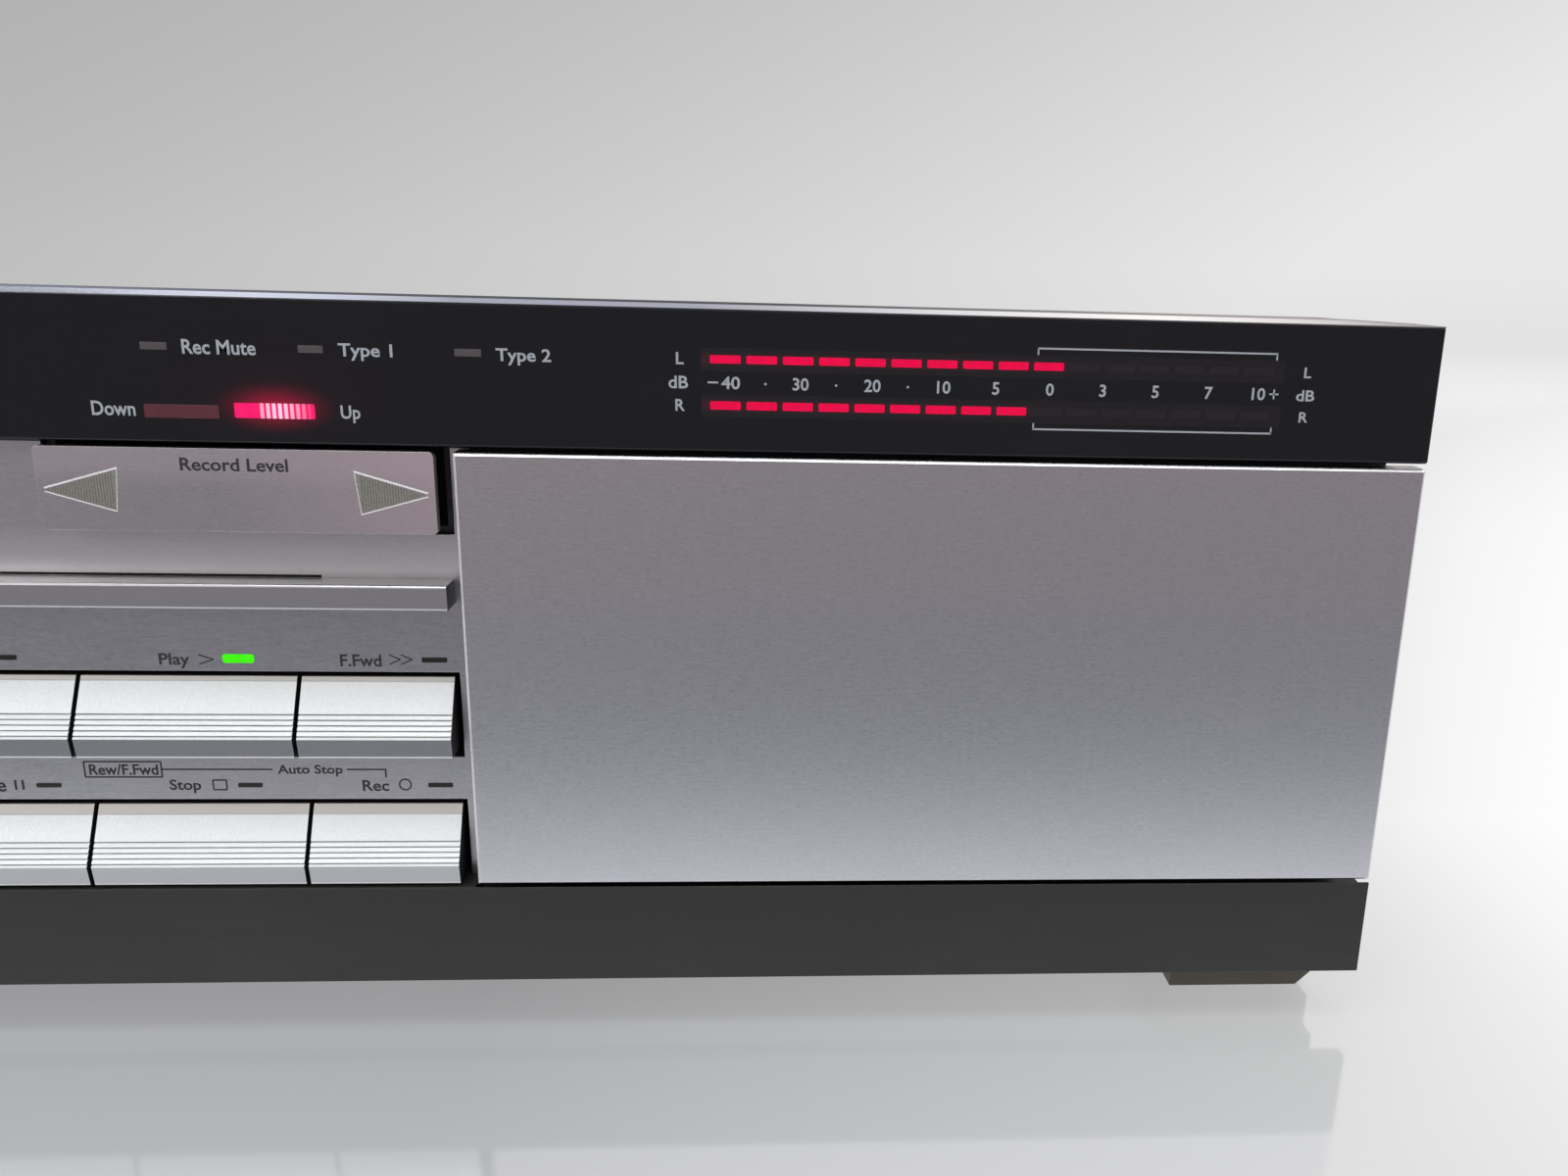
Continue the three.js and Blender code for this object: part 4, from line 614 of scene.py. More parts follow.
def finish_table():
    """The maker of each finish, with the values that it is given."""
    tint = bpy.context.scene.deck_colours
    satin = tint.satin
    return {
        # Door: painted highlights on the narrow slopes of its sides
        "door_satin": (brushed, satin, 0.29, dict(wear=0.6, reach=0.0005, light_sides=True)),
        # Fascia: painted light reflected from the ledge between heights 77.2 and 86, painted shade in its
        # wells behind 6.4, and the same dark colour above 100.35
        "fascia_satin": (brushed, [part * 0.79 for part in satin], 0.31, dict(
            light_band=(77.2, 86.0), backing=6.4, dark_above=100.35)),
        # Rocker: a dark body behind its face, a painted sheen lighter and warmer toward the right end, and a
        # painted highlight along the top
        "rocker_satin": (brushed, [part * 0.91 for part in satin], 0.30, dict(backing=2.05, ramps=[
            ("X", 14.0, 50.0, 0.5, (0.92, 0.74, 0.77)), ("Z", 93.5, 97.5, 0.24, (0.98, 0.86, 0.90))])),
        # Ledge: painted shade on its front faces and on its ends
        "ledge_satin": (brushed, [part * 1.04 for part in satin], 0.30, dict(
            dark_ends=True, front_share=0.80)),
        # Trim: painted reflections make it darker toward the middle and lighter again toward the right
        "trim_brushed": (brushed, tint.trim, 0.19, dict(fineness=2200.0, dust=0.05, wear=0.25, ramps=[
            ("X", -20, 55, 1.0, (0.075, 0.073, 0.085)), ("X", 95, 170, 1.0, (0.20, 0.185, 0.18))])),
        "knob_turned": (brushed, satin, 0.28, dict(length=700.0)),
        "plated_steel": (brushed, (0.60, 0.59, 0.55), 0.38, dict(length=300.0, fineness=900.0)),
        "polished_shaft": (brushed, (0.70, 0.70, 0.70), 0.14, dict(length=1500.0)),
        "plated_brass": (brushed, (0.72, 0.60, 0.34), 0.26, dict(length=900.0)),
        "screw_steel": (brushed, (0.10, 0.10, 0.105), 0.34, dict(
            length=900.0, fineness=1800.0, wear=0.8, reach=0.0003)),
        "display_acrylic": (acrylic, tint.acrylic),
        "smoked_pane": (smoked_glass,),
        "plinth_matte": (moulded, tint.plinth, 0.55, dict(fineness=2600.0, dust=0.06, specular=0.4)),
        "dark_moulding": (moulded, tint.moulding, 0.5),
        "button_moulding": (moulded, (0.03, 0.03, 0.032), 0.38, dict(coat=0.2)),
        "texture_paint": (moulded, tint.paint, 0.44, dict(
            fineness=1500.0, relief=0.00005, edge=(0.30, 0.30, 0.30), dust=0.09)),
        "soft_rubber": (moulded, (0.020, 0.018, 0.017), 0.78, dict(fineness=1200.0)),
        "foot_rubber": (moulded, (0.115, 0.10, 0.080), 0.7, dict(fineness=1400.0)),
        "white_nylon": (moulded, (0.62, 0.61, 0.57), 0.42, dict(relief=0.00001, dust=0.15)),
        "core_varnish": (moulded, (0.10, 0.075, 0.05), 0.35, dict(coat=0.3)),
        "jack_white": (moulded, (0.66, 0.65, 0.62), 0.4, dict(relief=0.00001)),
        "jack_red": (moulded, (0.45, 0.02, 0.018), 0.4, dict(relief=0.00001)),
        "board_resist": (board_resist,),
        "light_ink": (printed, tint.white_print),
        "dark_ink": (printed, tint.dark_print),
        "pale_ink": (printed, (0.62, 0.62, 0.62)),
        "bright_ink": (printed, (0.86, 0.86, 0.86)),
        "olive_ink": (printed, (0.245, 0.232, 0.205), 0.2),
        "grey_ink": (printed, (0.155, 0.148, 0.128), 0.3),
        "channel_ink": (channel_ink,),
        "segment_dark": (lamp, (0.0146, 0.0117, 0.0145), (0.001, 0.001, 0.001), 0.05),
        "segment_lit": (lamp, (0.02, 0.0, 0.004), tint.red_lamp, 0.86, dict(gloss=0.1)),
        "fader_lit": (lamp, (0.08, 0.002, 0.02), (1.0, 0.001, 0.15), 0.95, (22.2, 31.0, 9)),
        "fader_dim": (lamp, (0.085, 0.022, 0.032), (0.10, 0.010, 0.016), 0.22),
        "lens_dim": (lamp, (0.085, 0.072, 0.078), (0.05, 0.03, 0.03), 0.1),
        "lens_green": (lamp, (0.01, 0.06, 0.0), tint.green_lamp, 0.97, dict(gloss=0.15)),
        "lens_black": (lamp, (0.016, 0.011, 0.009), (0.01, 0.01, 0.01), 0.05),
        "counter_lit": (lamp, (0.3, 0.03, 0.04), (1.0, 0.06, 0.08), 0.9),
        # The two key rows are shaded copies: painted shade makes the upper row's foot darker and the lower
        # row's top band wider
        "key_upper": (key_pearl, 44.8, (0.20, 0.20, 0.22), 0.7),
        "key_lower": (key_pearl, 20.0, (0.50, 0.50, 0.52), 1.6),
    }


made_finishes = {}


def finish(name):
    """A finish from the table, made when it is first asked for."""
    if name not in made_finishes:
        maker, *values = finish_table()[name]
        options = values.pop() if values and isinstance(values[-1], dict) else {}
        made_finishes[name] = maker(name, *values, **options)
    return made_finishes[name]


# Mesh building


def new_object(name, mesh, material):
    """A finished bmesh as an object of the scene, with its material."""
    data = bpy.data.meshes.new(name)
    mesh.to_mesh(data)
    mesh.free()
    data.materials.append(material)
    made = bpy.data.objects.new(name, data)
    bpy.context.scene.collection.objects.link(made)
    return made


def add_piece(name, mesh, finish_name, body):
    """Puts a finished bmesh into the scene as a piece that rides on a body."""
    bmesh.ops.recalc_face_normals(mesh, faces=mesh.faces[:])
    piece = new_object(name, mesh, finish(finish_name))
    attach(piece, body)


def verts_of(geometry):
    """The corners among the parts that an operator gives back."""
    return [item for item in geometry if isinstance(item, bmesh.types.BMVert)]


def add_box(mesh, x, y, z, round_edge=0.0, segments=2):
    """A box between two drawing values on each axis, its edges rounded where asked."""
    low, high = place(x[0], y[0], z[0]), place(x[1], y[1], z[1])
    size = Matrix.Diagonal((*(high - low), 1.0))
    made = bmesh.ops.create_cube(mesh, size=1.0, matrix=Matrix.Translation((low + high) / 2) @ size)
    if round_edge:
        edges = list({edge for vert in made["verts"] for edge in vert.link_edges})
        bmesh.ops.bevel(mesh, geom=edges, offset=round_edge / 1000, segments=segments, profile=0.5,
                        affect="EDGES", material=-1, offset_type="OFFSET", clamp_overlap=True)


# How many short sides each rounded corner of a lens has
CORNER_STEPS = 4


def add_lens(mesh, x, y, z, corner):
    """A flat lens with rounded corners that shows its front face."""
    points = []
    left, right, low, high = x[0] + corner, x[1] - corner, z[0] + corner, z[1] - corner
    for turn, (across, level) in enumerate([(right, high), (left, high), (left, low), (right, low)]):
        for step in range(CORNER_STEPS + 1):
            angle = math.radians(90 * (turn + step / CORNER_STEPS))
            points.append((across + corner * math.cos(angle), level + corner * math.sin(angle)))
    add_outline(mesh, points, y[1], y[1] - y[0])


def add_outline(mesh, points, y, depth):
    """A flat outline of the front drawing, given thickness towards the viewer."""
    face = mesh.faces.new([mesh.verts.new(place(px, y, pz)) for px, pz in points])
    grown = bmesh.ops.extrude_face_region(mesh, geom=[face])["geom"]
    bmesh.ops.translate(mesh, verts=verts_of(grown), vec=(0, -depth / 1000, 0))


def add_line(mesh, start, end, width, y, depth):
    """A straight printed line between two points of the front drawing."""
    start, end = Vector(start), Vector(end)
    way = (end - start).normalized()
    side = Vector((-way.y, way.x)) * width / 2
    add_outline(mesh, [start - side, end - side, end + side, start + side], y, depth)


def add_ring(mesh, centre, radius, width, y, depth, sides=28, back=False):
    """A printed ring round a centre of the front drawing."""
    inner_radius, outer_radius = radius - width / 2, radius + width / 2
    inner = bmesh.ops.create_circle(
        mesh, cap_ends=False, radius=inner_radius / 1000, segments=sides)["verts"]
    edges = [edge for edge in mesh.edges if all(vert in inner for vert in edge.verts)]
    grown = bmesh.ops.extrude_edge_only(mesh, edges=edges)["geom"]
    outer = verts_of(grown)
    factor = outer_radius / inner_radius
    bmesh.ops.scale(mesh, vec=(factor, factor, 1), verts=outer)
    faces = [item for item in grown if isinstance(item, bmesh.types.BMFace)]
    raised = verts_of(bmesh.ops.extrude_face_region(mesh, geom=faces)["geom"])
    bmesh.ops.translate(mesh, verts=raised, vec=(0, 0, depth / 1000))
    ring = list(set(inner + outer + raised))
    bmesh.ops.transform(mesh, verts=ring, matrix=face_matrix(centre[0], y, centre[1], back))


def face_matrix(x, y, z, back=False):
    """Turns a flat drawing to face the front, or the back, at a place of the front drawing."""
    way = -1 if back else 1
    turn = Matrix(((way, 0, 0), (0, 0, -way), (0, 1, 0)))
    return Matrix.Translation(place(x, y, z)) @ turn.to_4x4()


# How much the strokes of the lettering are widened, as a share of the letters' height
LETTER_WEIGHT = 0.018


def add_text(mesh, words, y, low, high, left=None, right=None, centre=None, back=False):
    """Plain lettering that fills a height, and a width where both of its ends are given."""
    depth = bpy.context.scene.deck_sizes.print_depth
    curve = bpy.data.curves.new("lettering", "FONT")
    curve.body = words
    curve.resolution_u = 3
    curve.extrude = 0.5
    curve.offset = LETTER_WEIGHT
    holder = bpy.data.objects.new("lettering", curve)
    bpy.context.scene.collection.objects.link(holder)
    graph = bpy.context.evaluated_depsgraph_get()
    data = bpy.data.meshes.new_from_object(holder.evaluated_get(graph))
    bpy.data.objects.remove(holder)
    bpy.data.curves.remove(curve)
    before = len(mesh.verts)
    mesh.from_mesh(data)
    bpy.data.meshes.remove(data)
    mesh.verts.ensure_lookup_table()
    verts = mesh.verts[before:]
    xs, ys = [vert.co.x for vert in verts], [vert.co.y for vert in verts]
    tall = wide = (high - low) / 1000 / (max(ys) - min(ys))
    if centre is None:
        wide = (right - left) / 1000 / (max(xs) - min(xs))
    span = (max(xs) - min(xs)) * wide * 1000
    if centre is not None:
        left = centre - span / 2
    matrix = (face_matrix(left + span if back else left, y, low, back)
              @ Matrix.Diagonal((wide, tall, depth, 1.0))
              @ Matrix.Translation((-min(xs), -min(ys), 0.5)))
    bmesh.ops.transform(mesh, verts=verts, matrix=matrix)


def depth_mm():
    """Thickness of a print in millimetres."""
    return bpy.context.scene.deck_sizes.print_depth * 1000


def report_done(operator, text):
    """The usual end of an operator."""
    operator.report({"INFO"}, text)
    return {"FINISHED"}


# CAD pieces: finishes and rounded edges

NODE_FINISHES = {
    "front_frame": "dark_moulding", "fascia": "fascia_satin", "display_window": "display_acrylic",
    "top_trim": "trim_brushed", "plinth": "plinth_matte", "ledge_bar": "ledge_satin",
    "control_panel": "dark_moulding", "headphone_jack": "plated_steel", "control_board": "board_resist",
    "key_bracket": "dark_moulding", "key_board": "board_resist", "display_board": "board_resist",
    "mechanism_plate": "dark_moulding", "thrust_plate": "plated_steel", "capstan_motor": "plated_steel",
    "reel_motor": "plated_steel", "capstan_belt": "soft_rubber", "base_pan": "texture_paint",
    "rear_panel": "texture_paint", "top_cover": "texture_paint", "main_board": "board_resist",
    "transformer": "core_varnish", "phono_jacks": "plated_brass", "mains_inlet": "dark_moulding",
    "foot_front_left": "foot_rubber", "foot_front_right": "foot_rubber", "foot_rear_left": "foot_rubber",
    "foot_rear_right": "foot_rubber", "control_door": "door_satin", "cassette_door": "door_satin",
    "cassette_window": "smoked_pane", "cassette_holder": "dark_moulding", "fader_rocker": "rocker_satin",
    "rewind_key": "key_upper", "play_key": "key_upper", "forward_key": "key_upper",
    "pause_key": "key_lower", "stop_key": "key_lower", "record_key": "key_lower",
    "power_button": "button_moulding", "eject_button": "button_moulding", "reset_button": "button_moulding",
    "level_knob_left": "knob_turned", "level_knob_right": "knob_turned", "level_knob_output": "knob_turned",
    "monitor_lever": "button_moulding", "timer_lever": "button_moulding", "tape_lever": "button_moulding",
    "hub_left": "white_nylon", "hub_right": "white_nylon", "capstan_left": "polished_shaft",
    "capstan_right": "polished_shaft", "motor_pulley": "plated_brass", "head_base": "plated_steel",
    "pinch_arm_left": "plated_steel", "pinch_arm_right": "plated_steel",
    "pinch_roller_left": "soft_rubber", "pinch_roller_right": "soft_rubber",
}

# Pieces whose edges are crisper or softer than the rest, as shares of the edge round
ROUND_SHARES = {
    "display_window": 0.7, "cassette_window": 0.7, "top_trim": 0.6, "fader_rocker": 0.8,
    "plinth": 1.2, "top_cover": 1.6, "control_board": 0.4, "key_board": 0.4, "display_board": 0.4,
    "main_board": 0.4, "capstan_belt": 0.6, "hub_left": 0.6, "hub_right": 0.6,
}


# Corners closer than this, in metres, are joined, and the least angles in degrees that a slope
# and a rounded edge take
JOIN_GAP = 0.000002
SLOPE_ANGLE, EDGE_ANGLE = 0.6, 35


def round_edges(node, radius):
    """Joins a CAD piece's triangles, rounds its edges and evens out its shading."""
    weld = node.modifiers.new("Join", "WELD")
    weld.merge_threshold = JOIN_GAP
    flat = node.modifiers.new("Flat Faces", "DECIMATE")
    flat.decimate_type = "DISSOLVE"
    flat.angle_limit = math.radians(SLOPE_ANGLE)
    edge = node.modifiers.new("Edge Round", "BEVEL")
    edge.width = radius
    edge.segments = 2
    edge.limit_method = "ANGLE"
    edge.angle_limit = math.radians(EDGE_ANGLE)
    edge.use_clamp_overlap = True
    even = node.modifiers.new("Even Shading", "WEIGHTED_NORMAL")
    even.keep_sharp = True
    node.data.shade_smooth()


def dress_nodes(names):
    """Gives CAD pieces their finish and their rounded edges."""
    sizes = bpy.context.scene.deck_sizes
    for name in names:
        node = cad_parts[name]
        node.data.materials.clear()
        node.data.materials.append(finish(NODE_FINISHES[name]))
        round_edges(node, sizes.edge_round * ROUND_SHARES.get(name, 1.0))


FRONT_NODES = [
    "front_frame", "fascia", "display_window", "top_trim", "plinth", "ledge_bar", "control_door",
    "cassette_door", "cassette_window", "cassette_holder", "fader_rocker",
]
KEY_NODES = ["rewind_key", "play_key", "forward_key", "pause_key", "stop_key", "record_key",
             "power_button", "eject_button", "reset_button"]
PANEL_NODES = ["control_panel", "headphone_jack", "level_knob_left", "level_knob_right",
               "level_knob_output", "monitor_lever", "timer_lever", "tape_lever"]
CABINET_NODES = ["base_pan", "rear_panel", "top_cover", "phono_jacks", "mains_inlet", "foot_front_left",
                 "foot_front_right", "foot_rear_left", "foot_rear_right"]


class DECK_OT_dress_front(bpy.types.Operator):
    """Finish the front frame, fascia, doors, window, ledge and rocker"""

    bl_idname = "deck.dress_front"
    bl_label = "Dress Front"

    def execute(self, context):
        dress_nodes(FRONT_NODES)
        return report_done(self, "front dressed")


class DECK_OT_dress_keys(bpy.types.Operator):
    """Finish the transport keys and the buttons"""

    bl_idname = "deck.dress_keys"
    bl_label = "Dress Keys"

    def execute(self, context):
        dress_nodes(KEY_NODES)
        return report_done(self, "keys dressed")


class DECK_OT_dress_panel(bpy.types.Operator):
    """Finish the control panel behind the door, with its knobs, levers and jack"""

    bl_idname = "deck.dress_panel"
    bl_label = "Dress Control Panel"

    def execute(self, context):
        dress_nodes(PANEL_NODES)
        return report_done(self, "panel dressed")


class DECK_OT_dress_cabinet(bpy.types.Operator):
    """Finish the cover, base, rear panel, jacks, inlet and feet"""

    bl_idname = "deck.dress_cabinet"
    bl_label = "Dress Cabinet"

    def execute(self, context):
        dress_nodes(CABINET_NODES)
        return report_done(self, "cabinet dressed")


class DECK_OT_dress_inside(bpy.types.Operator):
    """Finish the tape drive, the boards, the motors and the transformer"""

    bl_idname = "deck.dress_inside"
    bl_label = "Dress Inside"

    def execute(self, context):
        done = set(FRONT_NODES + KEY_NODES + PANEL_NODES + CABINET_NODES)
        dress_nodes([name for name in NODE_FINISHES if name not in done])
        return report_done(self, "inside dressed")


# Display window: legends, meter, lamps and counter

# Depths of the drawing, from front to back: prints on the window, and lenses set into it
WINDOW_FACE = 0
WINDOW_LENS = (-0.05, 0.3)
INDICATOR_LENS = (-0.04, 0.3)
SCALE_LOW, SCALE_HIGH = 112.0, 114.15
SCALE_MIDDLE = 113.1


class DECK_OT_display_legends(bpy.types.Operator):
    """Print the legends, numbers and brackets of the display window"""

    bl_idname = "deck.display_legends"
    bl_label = "Display Legends"

    def execute(self, context):
        mesh = bmesh.new()
        d = depth_mm()
        for words, left, right, low, high in [
            ("Rec Mute", 10.8, 22.6, 115.9, 118.3), ("Type 1", 35.9, 44.7, 115.4, 118.2),
            ("Type 2", 61.6, 70.7, 115.2, 118.0), ("Up", 35.5, 38.7, 105.1, 108.0),
            ("Down", -4.8, 2.2, 105.6, 108.0), ("L", 91.5, 92.8, 116.0, 118.0),
            ("dB", 90.2, 93.5, 112.0, 114.1), ("R", 91.3, 92.9, 108.2, 110.2),
            ("L", 200.5, 201.8, 116.0, 117.8), ("dB", 199.5, 202.8, 112.0, 113.9),
            ("R", 200.4, 202.0, 108.3, 110.1), ("Counter", -150.0, -138.6, 115.4, 117.7),
            ("Memory", -101.0, -89.4, 115.3, 118.0), ("Repeat", -71.0, -61.0, 115.3, 118.0),
            ("Timer", -41.0, -33.4, 115.7, 118.0), ("Monitor", -101.0, -89.8, 105.6, 108.0),
            ("Tape", -71.0, -64.6, 105.2, 108.0),
        ]:
            add_text(mesh, words, WINDOW_FACE, low, high, left, right)
        for number, centre in [("30", 112.6), ("20", 124.9), ("10", 137.2), ("5", 146.25), ("0", 155.7),
                               ("3", 165.0), ("5", 174.3), ("7", 183.75)]:
            add_text(mesh, number, WINDOW_FACE, SCALE_LOW, SCALE_HIGH, centre=centre)
        add_text(mesh, "40", WINDOW_FACE, SCALE_LOW, SCALE_HIGH, left=99.1, right=102.3)
        add_line(mesh, (96.8, SCALE_MIDDLE), (98.6, SCALE_MIDDLE), 0.3, WINDOW_FACE, d)
        add_text(mesh, "10", WINDOW_FACE, SCALE_LOW, SCALE_HIGH, left=191.5, right=193.9)
        add_line(mesh, (194.6, SCALE_MIDDLE), (196.3, SCALE_MIDDLE), 0.27, WINDOW_FACE, d)
        add_line(mesh, (195.45, 112.25), (195.45, 113.95), 0.27, WINDOW_FACE, d)
        for dot in (106.6, 118.65, 131.0):
            add_ring(mesh, (dot, 113.0), 0.12, 0.2, WINDOW_FACE, d, sides=10)
        for left, right, level, tip in [(153.2, 195.5, 120.0, 118.9), (153.0, 195.7, 106.25, 107.3)]:
            add_line(mesh, (left, level), (right, level), 0.3, WINDOW_FACE, d)
            for x in (left + 0.13, right - 0.13):
                add_line(mesh, (x, level), (x, tip), 0.26, WINDOW_FACE, d)
        add_piece("display_legends", mesh, "light_ink", "chassis")
        return report_done(self, "display printed")


class DECK_OT_level_meter(bpy.types.Operator):
    """Make the two channels of the level meter with their lit and dark segments"""

    bl_idname = "deck.level_meter"
    bl_label = "Level Meter"

    def execute(self, context):
        width = context.scene.deck_sizes.segment_width * 1000
        channels, lit, dark = bmesh.new(), bmesh.new(), bmesh.new()
        for row, (low, high) in METER_ROWS.items():
            middle = (low + high) / 2
            add_box(channels, (95.7, 197.0), (-0.02, 0.3), (middle - 2.0, middle + 1.9))
            for step in range(METER_STEPS):
                left = METER_LEFT + step * METER_PITCH
                target = lit if step < lit_steps(row) else dark
                add_lens(target, (left, left + width), WINDOW_LENS, (low, high), 0.22)
        add_piece("meter_channels", channels, "channel_ink", "chassis")
        add_piece("meter_segments_lit", lit, "segment_lit", "chassis")
        add_piece("meter_segments_dark", dark, "segment_dark", "chassis")
        return report_done(self, "meter made")


class DECK_OT_display_lamps(bpy.types.Operator):
    """Make the indicator lamps and the two fader lamps of the display window"""

    bl_idname = "deck.display_lamps"
    bl_label = "Display Lamps"

    def execute(self, context):
        lenses, lit, dim = bmesh.new(), bmesh.new(), bmesh.new()
        right_lamps = [(4.15, 8.4), (29.4, 33.4), (54.8, 59.2)]
        left_lamps = [(-107.0, -103.0), (-77.0, -73.0), (-47.0, -43.0)]
        for across in right_lamps + left_lamps:
            add_box(lenses, across, INDICATOR_LENS, (116.5, 117.7), 0.03, 1)
        for across in left_lamps[:2]:
            add_box(lenses, across, INDICATOR_LENS, (106.2, 107.4), 0.03, 1)
        add_lens(lit, (18.2, 31.3), WINDOW_LENS, (105.6, 108.1), 0.3)
        add_box(dim, (3.6, 15.65), WINDOW_LENS, (105.4, 107.6), 0.04, 1)
        add_piece("indicator_lenses", lenses, "lens_dim", "chassis")
        add_piece("fader_lamp_up", lit, "fader_lit", "chassis")
        add_piece("fader_lamp_down", dim, "fader_dim", "chassis")
        return report_done(self, "lamps made")


class DECK_OT_tape_counter(bpy.types.Operator):
    """Make the plain digits of the tape counter"""

    bl_idname = "deck.tape_counter"
    bl_label = "Tape Counter"

    # Segments of each digit: top, upper left, upper right, middle, lower left, lower right, bottom
    segments = {"0": "1110111", "1": "0010010", "2": "1011101", "3": "1011011"}

    def execute(self, context):
        lit, dark = bmesh.new(), bmesh.new()
        wide, tall, bar, pitch, low = 4.2, 8.0, 0.8, 6.2, 105.2
        middle = low + tall / 2
        upper, lower = (middle + 0.2, low + tall - 0.3), (low + 0.3, middle - 0.2)
        for index, digit in enumerate("0123"):
            start = -153.0 + index * pitch
            left, right = (start, start + bar), (start + wide - bar, start + wide)
            across = (left[1], right[0])
            places = [
                (across, (low + tall - bar, low + tall)), (left, upper), (right, upper),
                (across, (middle - bar / 2, middle + bar / 2)), (left, lower), (right, lower),
                (across, (low, low + bar))]
            for (x, z), on in zip(places, self.segments[digit]):
                add_box(lit if on == "1" else dark, x, WINDOW_LENS, z, 0.05, 1)
        add_piece("counter_segments_lit", lit, "counter_lit", "chassis")
        add_piece("counter_segments_dark", dark, "segment_dark", "chassis")
        return report_done(self, "counter made")


# Fascia legends and lamps

FASCIA_FACE = 6.0
FASCIA_LENS = (5.85, 6.3)


class DECK_OT_fascia_legends(bpy.types.Operator):
    """Print the legends and symbols of the transport keys and buttons"""

    bl_idname = "deck.fascia_legends"
    bl_label = "Fascia Legends"

    def execute(self, context):
        mesh = bmesh.new()
        y, d = FASCIA_FACE, depth_mm()
        for words, left, right, low, high in [
            ("Play", -1.8, 3.5, 60.0, 62.8), ("F.Fwd", 29.9, 37.2, 60.5, 62.8),
            ("Stop", -2.7, 2.9, 35.9, 38.6), ("Rec", 32.0, 36.8, 36.3, 38.5),
            ("Auto Stop", 16.9, 28.6, 39.2, 41.5),
            ("Rew/F.Fwd", -16.6, -4.4, 39.5, 41.6), ("Rew", -38.8, -33.0, 60.9, 63.2),
            ("Pause", -40.0, -31.6, 36.2, 38.9), ("Power", -208.6, -199.4, 94.6, 97.4),
            ("Reset", -208.2, -199.8, 65.4, 67.8), ("Eject", -207.9, -200.1, 41.2, 44.0),
        ]:
            add_text(mesh, words, y, low, high, left, right)
        for left, wide, level in [(38.6, 2.0, 61.9), (40.7, 2.0, 61.9), (5.1, 2.6, 61.7)]:
            for way in (0.9, -0.9):
                add_line(mesh, (left, level + way), (left + wide, level), 0.22, y, d)
        for left in (-43.4, -41.3):
            for way in (1.0, -1.0):
                add_line(mesh, (left, 62.0), (left + 2.0, 62.0 + way), 0.22, y, d)
        for x in (-29.9, -28.6):
            add_line(mesh, (x, 36.6), (x, 38.5), 0.4, y, d)
        stop_mark = [(5.1, 36.6), (7.5, 36.6), (7.5, 38.5), (5.1, 38.5), (5.1, 36.6)]
        wind_box = [(-17.4, 39.1), (-3.8, 39.1), (-3.8, 42.1), (-17.4, 42.1), (-17.4, 39.1)]
        for path in (stop_mark, [(-3.8, 40.6), (16.0, 40.6)], [(29.4, 40.6), (36.5, 40.6)],
                     [(36.4, 40.6), (36.4, 39.0)], wind_box):
            for start, end in zip(path, path[1:]):
                add_line(mesh, start, end, 0.28, y, d)
        add_ring(mesh, (39.8, 37.6), 1.05, 0.28, y, d)
        add_piece("fascia_legends", mesh, "dark_ink", "chassis")
        return report_done(self, "fascia printed")


class DECK_OT_fascia_lamps(bpy.types.Operator):
    """Make the small lamps above the transport keys"""

    bl_idname = "deck.fascia_lamps"
    bl_label = "Key Lamps"

    def execute(self, context):
        lit, dark = bmesh.new(), bmesh.new()
        add_lens(lit, (9.3, 14.8), FASCIA_LENS, (61.1, 62.7), 0.45)
        for left, right, low, high in [
            (44.4, 48.9, 61.4, 62.3), (9.6, 13.9, 37.1, 37.9), (44.0, 48.5, 37.1, 37.9),
            (-30.8, -26.3, 61.4, 62.3), (-26.2, -21.9, 37.1, 37.9), (-196.6, -192.4, 95.6, 96.5),
        ]:
            add_lens(dark, (left, right), FASCIA_LENS, (low, high), 0.15)
        add_piece("play_lamp", lit, "lens_green", "chassis")
        add_piece("key_lamps", dark, "lens_black", "chassis")
        return report_done(self, "key lamps made")


ROCKER_FACE = 0
HATCH_COUNT = 24


class DECK_OT_rocker_print(bpy.types.Operator):
    """Print the arrows and the legend of the fader rocker"""

    bl_idname = "deck.rocker_print"
    bl_label = "Rocker Print"

    def execute(self, context):
        edges, fills, hatching, words = (bmesh.new() for _ in range(4))
        d = depth_mm()
        for base, way in [(36.8, 1), (-2.0, -1)]:
            tip = base + way * 12.2
            for start, end, width in [
                ((base, 96.9), (tip, 93.35), 0.30), ((base + way * 0.8, 89.5), (tip, 92.75), 0.18),
                ((base + way * 0.1, 96.6), (base + way * 0.8, 89.6), 0.10),
            ]:
                add_line(edges, start, end, width, ROCKER_FACE, d)
            area = [(base + way * 0.2, 96.6), (base + way * 0.85, 89.7), (tip - way * 0.4, 92.9)]
            add_outline(fills, area[::way], ROCKER_FACE, d * 0.5)
            for column in range(1, HATCH_COUNT):
                share = column / HATCH_COUNT
                x = base + way * (0.7 + 11.2 * share)
                low, high = 89.7 + 3.2 * share, 96.5 - 3.3 * share
                add_line(hatching, (x, low + 0.1), (x, high - 0.1), 0.16, ROCKER_FACE, d)
        add_text(words, "Record Level", ROCKER_FACE, 96.6, 98.8, 8.3, 26.0)
        add_piece("rocker_outline", edges, "bright_ink", "fader_rocker")
        add_piece("rocker_fill", fills, "olive_ink", "fader_rocker")
        add_piece("rocker_hatching", hatching, "grey_ink", "fader_rocker")
        add_piece("rocker_legend", words, "dark_ink", "fader_rocker")
        return report_done(self, "rocker printed")


# Control panel behind the door: legends, knob scales and pointers

PANEL_FACE = 24.0
PANE_FACE = 0.4
KNOB_PLACES = {"left": 84.2, "right": 122.4, "output": 160.6}
KNOB_LEVEL = 68.1
PHONES_PLACE = 194.3


def dial_point(x, angle, reach):
    """A point round a level knob, from its angle and its distance in millimetres."""
    return (x + reach * math.sin(angle), KNOB_LEVEL + reach * math.cos(angle))


